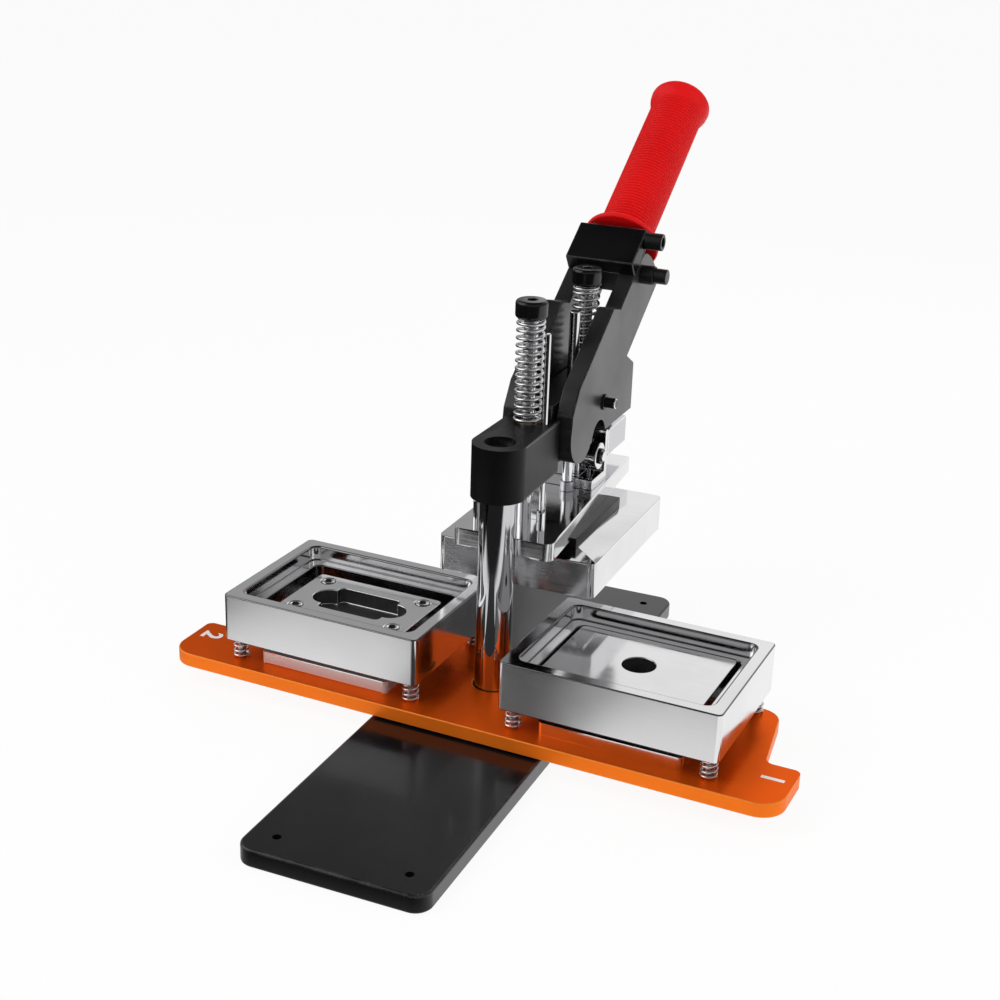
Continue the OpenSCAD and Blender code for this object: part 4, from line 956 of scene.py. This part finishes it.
@dataclass
class LowerDie(ABC):
    """One lower die: pedestal, punch or core, floating ring, ring screws and springs."""

    side: Side
    prefix: str
    ring_body: str
    centre: float = 84.5
    ring_edge: float = 0.7
    rim_edge: float = 1.1
    rim: Point = (53.0, 38.5)
    half_width: float = 46.0
    opening: Point = (47.0, 32.5)
    recess_depth: float = 8.5
    middle_edge: float = 0.5
    pedestal_edge: float = 0.6
    pedestal_finish: Finish = Finishes.DIE_STEEL
    spring_place: Point = (54.0, 38.5)
    spring_d: float = 9.2
    spring_wire: float = 1.3
    spring_turns: float = 4.5
    ring_travel: float = 4.5
    body: ClassVar[str] = "turntable"

    def node(self, part: str) -> str:
        """Return the frame's name of a part of this die."""
        return f"{self.prefix}_{part}"

    def place(self) -> Matrix:
        """Return the place of the die's middle on the turntable at rest."""
        along = Matrix.Translation((self.side.value * self.centre, 0, 0))
        return Matrix.Rotation(REST_TURN, 4, "Z") @ along

    def within(self, spot: Vector, reach: Point) -> bool:
        """Tell whether a spot lies within a rectangle around the die's middle, given by half its sides."""
        local = self.place().inverted() @ spot
        return abs(local.x) < reach[0] + TOUCH and abs(local.y) < reach[1] + TOUCH

    def build(self) -> None:
        """Make the die's pieces."""
        self.ring()
        self.middle()
        softened(self.node("pedestal"), self.body, [self.pedestal_finish, Finishes.STEEL_EDGE],
                 self.pedestal_edge, shortest=SMALL_RIM)
        dress(Finishes.GROUND, self.node("ring_screws"))
        self.springs()

    def ring(self) -> None:
        """Make the floating ring, with its inner rim rounder than its other edges and painted shade on the
        walls of its opening.
        """
        home = self.place().inverted()
        node = self.node("ring")
        top = height_of(node)[1]
        ledge = top - self.recess_depth
        shape = Shape.of_node(node)
        shape.paint(Zone.SIDE, lambda spot: abs((home @ spot).y) > self.half_width - TOUCH)
        # Painted shade: the walls of the opening below the ledge take the darker die wall steel
        shape.paint(Zone.BORE, lambda spot: spot.z < ledge - TOUCH and self.within(spot, self.opening))
        shape.soften(self.rim_edge, segments=3,
                     where=lambda spot: spot.z > top - TOUCH and self.within(spot, self.rim))
        shape.soften(self.ring_edge)
        # Painted reflection: the rounded edges take the dark die edge steel
        shape.piece(f"{node}_dressed", self.ring_body,
                    [Finishes.DIE_STEEL, Finishes.DIE_EDGE, Finishes.SHADED_STEEL, Finishes.SIDE_STEEL],
                    [node])

    @abstractmethod
    def middle(self) -> None:
        """Make the part in the middle of the ring."""

    def recessed(self, part: str, inside: Test) -> None:
        """Make a middle part whose recess and sides take darker finishes of painted shade.

        Args:
            part: Name of the part in this die.
            inside: Test, in the die's own place, whether a spot is in the recess.
        """
        home = self.place().inverted()
        node = self.node(part)
        top = height_of(node)[1]
        # Painted shade: the sides below the top take the darker die wall steel
        shape = Shape.of_node(node).paint(Zone.SIDE, lambda spot: spot.z < top - TOUCH)
        # Painted shade: the recess takes the dark bore steel
        shape.paint(Zone.BORE, lambda spot: spot.z < top - TOUCH and inside(home @ spot))
        shape.soften(self.middle_edge)
        shape.piece(f"{node}_dressed", self.body,
                    [Finishes.DIE_STEEL, Finishes.STEEL_EDGE, Finishes.BORE, Finishes.SHADED_STEEL],
                    [node])

    def at_corners(self, shape: Shape, corner: Point, height: float) -> Shape:
        """Stand a copy of a shape at four corners around the die's middle, and drop the shape.

        Args:
            shape: The shape, which can't be used after this.
            corner: Distance of the corners from the middle, along and across the die.
            height: Height at which the copies stand.

        Returns:
            The four copies as one shape.
        """
        four = Shape()
        for x in (-corner[0], corner[0]):
            for y in (-corner[1], corner[1]):
                four.join(shape, self.place() @ Matrix.Translation((x, y, height)))
        shape.bm.free()
        return four

    def springs(self) -> None:
        """Wind the four corner springs as one piece with a mesh of its own."""
        node = self.node("springs")
        low, high = height_of(node)
        height = high - low
        spring = Shape().coil(self.spring_d, self.spring_wire, height, self.spring_turns)
        four = self.at_corners(spring, self.spring_place, low)
        piece = four.piece(self.node("spring_coils"), self.body, [Finishes.SPRING], [node])
        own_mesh(piece)


@dataclass
class PunchDie(LowerDie):
    """The lower die with a flat punch."""

    hole_radius: float = 9.0

    def middle(self) -> None:
        """Make the punch with its drilled hole."""
        self.recessed("punch", lambda spot: math.hypot(spot.x, spot.y) < self.hole_radius + TOUCH)


@dataclass
class CoreDie(LowerDie):
    """The lower die with a recessed core and its screws.

    The head's curve is given as distances in from its rim and shares of the crown's height.
    """

    pedestal_finish: Finish = Finishes.MILLED_STEEL
    recess: Point = (29.5, 14.5)
    screw_place: Point = (31.0, 18.0)
    screw_sides: int = 48
    shank: float = 26.0
    shank_radius: float = 2.0
    shank_bevel: float = 0.3
    head_radius: float = 4.0
    head_height: float = 2.0
    head_crown: float = 0.45
    head_curve: tuple[Point, ...] = ((0.1, 0.4), (0.6, 0.8))
    head_flat: float = 0.3
    socket_rim: float = 0.35
    socket_radius: float = 2.3
    socket_lead: float = 0.3
    socket_depth: float = 1.2

    def middle(self) -> None:
        """Make the core with its recess, and its four screws."""
        self.recessed("core", lambda spot: abs(spot.x) < self.recess[0] and abs(spot.y) < self.recess[1])
        self.screws()

    def screws(self) -> None:
        """Turn the countersunk screws, each with a hexagon socket."""
        rim = self.socket_radius + self.socket_rim
        crown = self.head_crown
        profile = [(0, -self.shank), (self.shank_radius - self.shank_bevel, -self.shank),
                   (self.shank_radius, self.shank_bevel - self.shank),
                   (self.shank_radius, -self.head_height), (self.head_radius, 0.0)]
        profile += [(self.head_radius - inset, share * crown) for inset, share in self.head_curve]
        profile += [(rim + self.head_flat, crown), (rim, crown)]
        screw = Shape().lathe(profile, self.screw_sides)
        screw.socket(self.socket_radius, self.socket_lead, self.socket_depth)
        node = self.node("core_screws")
        four = self.at_corners(screw, self.screw_place, height_of(self.node("core"))[1])
        # The sockets take painted shade
        four.piece(f"{node}_turned", self.body,
                   [Finishes.SCREW, Finishes.STEEL_EDGE, Finishes.SOCKET], [node])


@dataclass
class Ram:
    """Ram plate with everything bolted to it."""

    plate_edge: float = 0.9
    die_edge: float = 0.9
    spacer_edge: float = 0.4
    punch_edge: float = 0.4
    riser_edge: float = 0.5
    pin_edge: float = 0.5
    collar_edge: float = 0.4
    body: ClassVar[str] = "ram"

    def build(self) -> None:
        """Make the ram's pieces and dress its screws."""
        self.faced("ram_plate", self.plate_edge)
        self.faced("upper_die", self.die_edge)
        softened("ram_spacer", self.body, [Finishes.OXIDE], self.spacer_edge, shortest=SMALL_RIM)
        softened("upper_punch", self.body, [Finishes.GROUND], self.punch_edge, shortest=SMALL_RIM)
        softened("roller_riser", self.body, [Finishes.RAM_STEEL, Finishes.STEEL_EDGE], self.riser_edge,
                 shortest=SMALL_RIM)
        for pins in ("locating_pins", "guide_rods", "rear_guide_post", "roller_pin"):
            softened(pins, self.body, [Finishes.MIRROR], self.pin_edge)
        softened("rod_collars", self.body, [Finishes.GROUND], self.collar_edge)
        dress(Finishes.MIRROR, "spring_posts")
        dress(Finishes.OXIDE, "ram_screws", "riser_screws", "roller_clips")
        dress(Finishes.GROUND, "upper_punch_screws")

    def faced(self, node: str, edge: float) -> None:
        """Round a block's edges and give its front and back a satin finish.

        Args:
            node: Name of the block.
            edge: Radius of its edges.
        """
        low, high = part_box(node)
        front, back = low[1] / MM + TOUCH, high[1] / MM - TOUCH
        shape = Shape.of_node(node).paint(Zone.SIDE, lambda spot: not front < spot.y < back)
        shape.soften(edge, shortest=SMALL_RIM)
        shape.piece(f"{node}_dressed", self.body,
                    [Finishes.RAM_STEEL, Finishes.STEEL_EDGE, Finishes.RAM_STEEL, Finishes.WORN_STEEL],
                    [node])


@dataclass
class Rollers:
    """The two rollers that the lever's toes press on."""

    edge: float = 0.8

    def build(self) -> None:
        """Make both rollers."""
        for node, body in (("roller_left", "roller_l"), ("roller_right", "roller_r")):
            softened(node, body, [Finishes.MIRROR], self.edge, segments=3)


@dataclass
class Head:
    """Press head with its bolt, bushes and rear guide block."""

    edge: float = 1.2
    block_edge: float = 0.8
    bolt_edge: float = 0.4
    body: ClassVar[str] = "frame"

    def build(self) -> None:
        """Make the head, its bolt and the guide block, and dress the rest."""
        softened("press_head", self.body, [Finishes.MATT_BLACK, Finishes.BLACK_EDGE], self.edge,
                 shortest=LARGE_RIM)
        softened("rear_guide_block", self.body, [Finishes.GROUND, Finishes.STEEL_EDGE], self.block_edge,
                 shortest=SMALL_RIM)
        softened("head_bolt", self.body, [Finishes.OXIDE], self.bolt_edge)
        dress(Finishes.BRONZE, "guide_bushes", "fulcrum_bush")
        dress(Finishes.OXIDE, "rear_block_screws")


@dataclass
class ReturnSprings:
    """The two springs that lift the ram, and the caps that hold them."""

    diameter: float = 16.0
    wire: float = 1.8
    pitch: float = 4.1
    coil_steps: int = 40
    stroke: float = 8.5
    front_y: float = 37.0
    rear_y: float = 120.0
    cap_radius: float = 8.8
    cap_edge: float = 2.0
    cap_bore: float = 4.0
    socket_rim: float = 0.5
    socket_radius: float = 3.0
    socket_lead: float = 0.4
    socket_depth: float = 2.6

    def build(self) -> None:
        """Wind both springs and make the caps."""
        self.spring("return_spring_front", self.front_y)
        self.spring("return_spring_rear", self.rear_y)
        self.caps()

    def spring(self, node: str, y: float) -> None:
        """Wind a spring as a piece with a mesh of its own.

        Args:
            node: The frame's name of the spring.
            y: Place of its post.
        """
        low, high = height_of(node)
        height = high - low
        # Two closed turns, and as many half turns between them as the pitch gives
        turns = 2 + math.floor(2 * (height - 3 * self.wire) / self.pitch) / 2
        spring = Shape().coil(self.diameter, self.wire, height, turns, self.coil_steps)
        spring.transform(Matrix.Translation((0, y, low)))
        piece = spring.piece(f"{node}_coil", "frame", [Finishes.SPRING], [node])
        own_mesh(piece)

    def caps(self) -> None:
        """Turn the round-edged caps, each with a hexagon socket."""
        low, high = height_of("post_caps")
        tall = high - low
        cap = Shape().lathe([(0, tall / 2), (self.cap_bore, tall / 2), (self.cap_bore, 0.0)]
                            + rounded(self.cap_radius, 0.0, self.cap_edge, up=False)
                            + rounded(self.cap_radius, tall, self.cap_edge, up=True)
                            + [(self.socket_radius + self.socket_rim, tall)])
        cap.socket(self.socket_radius, self.socket_lead, self.socket_depth)
        both = Shape()
        for y in (self.front_y, self.rear_y):
            both.join(cap, Matrix.Translation((0, y, low)))
        cap.bm.free()
        both.piece("post_caps_turned", "ram", [Finishes.BLACK_CAP], ["post_caps"])


@dataclass
class Lever:
    """Lever bars, fork, bolts and fulcrum pin."""

    edge: float = 0.8
    bolt_edge: float = 0.6
    pin_edge: float = 0.7
    clip_edge: float = 0.2
    body: ClassVar[str] = "lever"

    def build(self) -> None:
        """Make the lever's pieces."""
        for node, coat in (("lever_bar_left", Finishes.BAR_BLACK), ("lever_bar_right", Finishes.BAR_BLACK),
                           ("fork_block", Finishes.SATIN_BLACK)):
            softened(node, self.body, [coat, Finishes.BLACK_EDGE], self.edge, shortest=LARGE_RIM)
        for screw in ("fork_bolt", "fork_nut", "clamp_screw"):
            softened(screw, self.body, [Finishes.OXIDE], self.bolt_edge)
        softened("fulcrum_pin", self.body, [Finishes.OXIDE, Finishes.STEEL_EDGE], self.pin_edge)
        softened("fulcrum_clip", self.body, [Finishes.OXIDE], self.clip_edge)


@dataclass
class Handle:
    """Handle rod with its ribbed rubber grip.

    The fillet and the flare are given as radii over the grip's own and heights over the flange or the
    neck. The flare's end is set back from the end's radius.
    """

    start: float = 103.0
    length: float = 125.0
    across: float = 20.5
    lean: float = 34.4
    fulcrum: Point = (101.3, 156.25)
    sides: int = 96
    bore: float = 8.0
    end_wall: float = 6.0
    radius: float = 16.5
    groove: float = 1.1
    ribs: int = 46
    rib_steps: int = 6
    flange_radius: float = 23.0
    flange: float = 3.5
    flange_foot: float = 1.2
    flange_edge: float = 1.4
    fillet: tuple[Point, ...] = ((1.6, 0.3), (0.5, 1.2))
    collar: float = 4.0
    end_radius: float = 19.0
    end_length: float = 12.0
    end_edge: float = 3.0
    flare: tuple[Point, ...] = ((0.0, 1.0), (1.4, 3.5))
    flare_end: Point = (0.3, 6.0)
    dish_radius: float = 4.0
    dish_depth: float = 0.3
    body: ClassVar[str] = "lever"

    def build(self) -> None:
        """Make the grip and dress the rod inside it."""
        shape = Shape().lathe(self.profile(), self.sides)
        shape.transform(Matrix.Translation((0, *self.fulcrum))
                        @ Matrix.Rotation(math.radians(self.lean), 4, "X")
                        @ Matrix.Translation((0, self.start, self.across))
                        @ Matrix.Rotation(-math.pi / 2, 4, "X"))
        shape.piece("ribbed_grip", self.body, [Finishes.RUBBER], ["grip"])
        dress(Finishes.MIRROR, "handle_rod")

    def profile(self) -> list[Point]:
        """Draw the grip from the end of its bore over the flange and the ribs to its flared end.

        Returns:
            Radius and height of each point, in order.
        """
        inner = self.length - self.end_wall
        points = [(0.0, inner), (self.bore, inner), (self.bore, 0.0)]
        points += rounded(self.flange_radius, 0.0, self.flange_foot, up=False)
        points += rounded(self.flange_radius, self.flange, self.flange_edge, up=True)
        points += [(self.radius + out, self.flange + rise) for out, rise in self.fillet]
        first = self.flange + self.collar
        neck = self.length - self.end_length
        pitch = (neck - first) / self.ribs
        for rib in range(self.ribs):
            foot = first + rib * pitch
            for step in range(self.rib_steps):
                wave = 0.5 - 0.5 * math.cos(math.tau * step / self.rib_steps)
                points.append((self.radius - self.groove * (1 - wave ** 0.5),
                               foot + pitch * step / self.rib_steps))
        points.append((self.radius - self.groove, neck))
        points += [(self.radius + out, neck + rise) for out, rise in self.flare]
        points.append((self.end_radius - self.flare_end[0], neck + self.flare_end[1]))
        points += rounded(self.end_radius, self.length, self.end_edge, up=True)
        dish = self.length - self.dish_depth
        return points + [(self.dish_radius, dish), (0.0, dish)]


def main() -> None:
    """Build the press in order, from the studio up to the handle."""
    logging.basicConfig(level=logging.INFO, format="%(message)s")
    for assembly in (Studio(), Base(), Turntable(), PunchDie(Side.RIGHT, "die_a", "ring_a"),
                     CoreDie(Side.LEFT, "die_b", "ring_b"), Ram(), Rollers(), Head(), ReturnSprings(),
                     Lever(), Handle()):
        assembly.build()


if __name__ == "__main__":
    main()
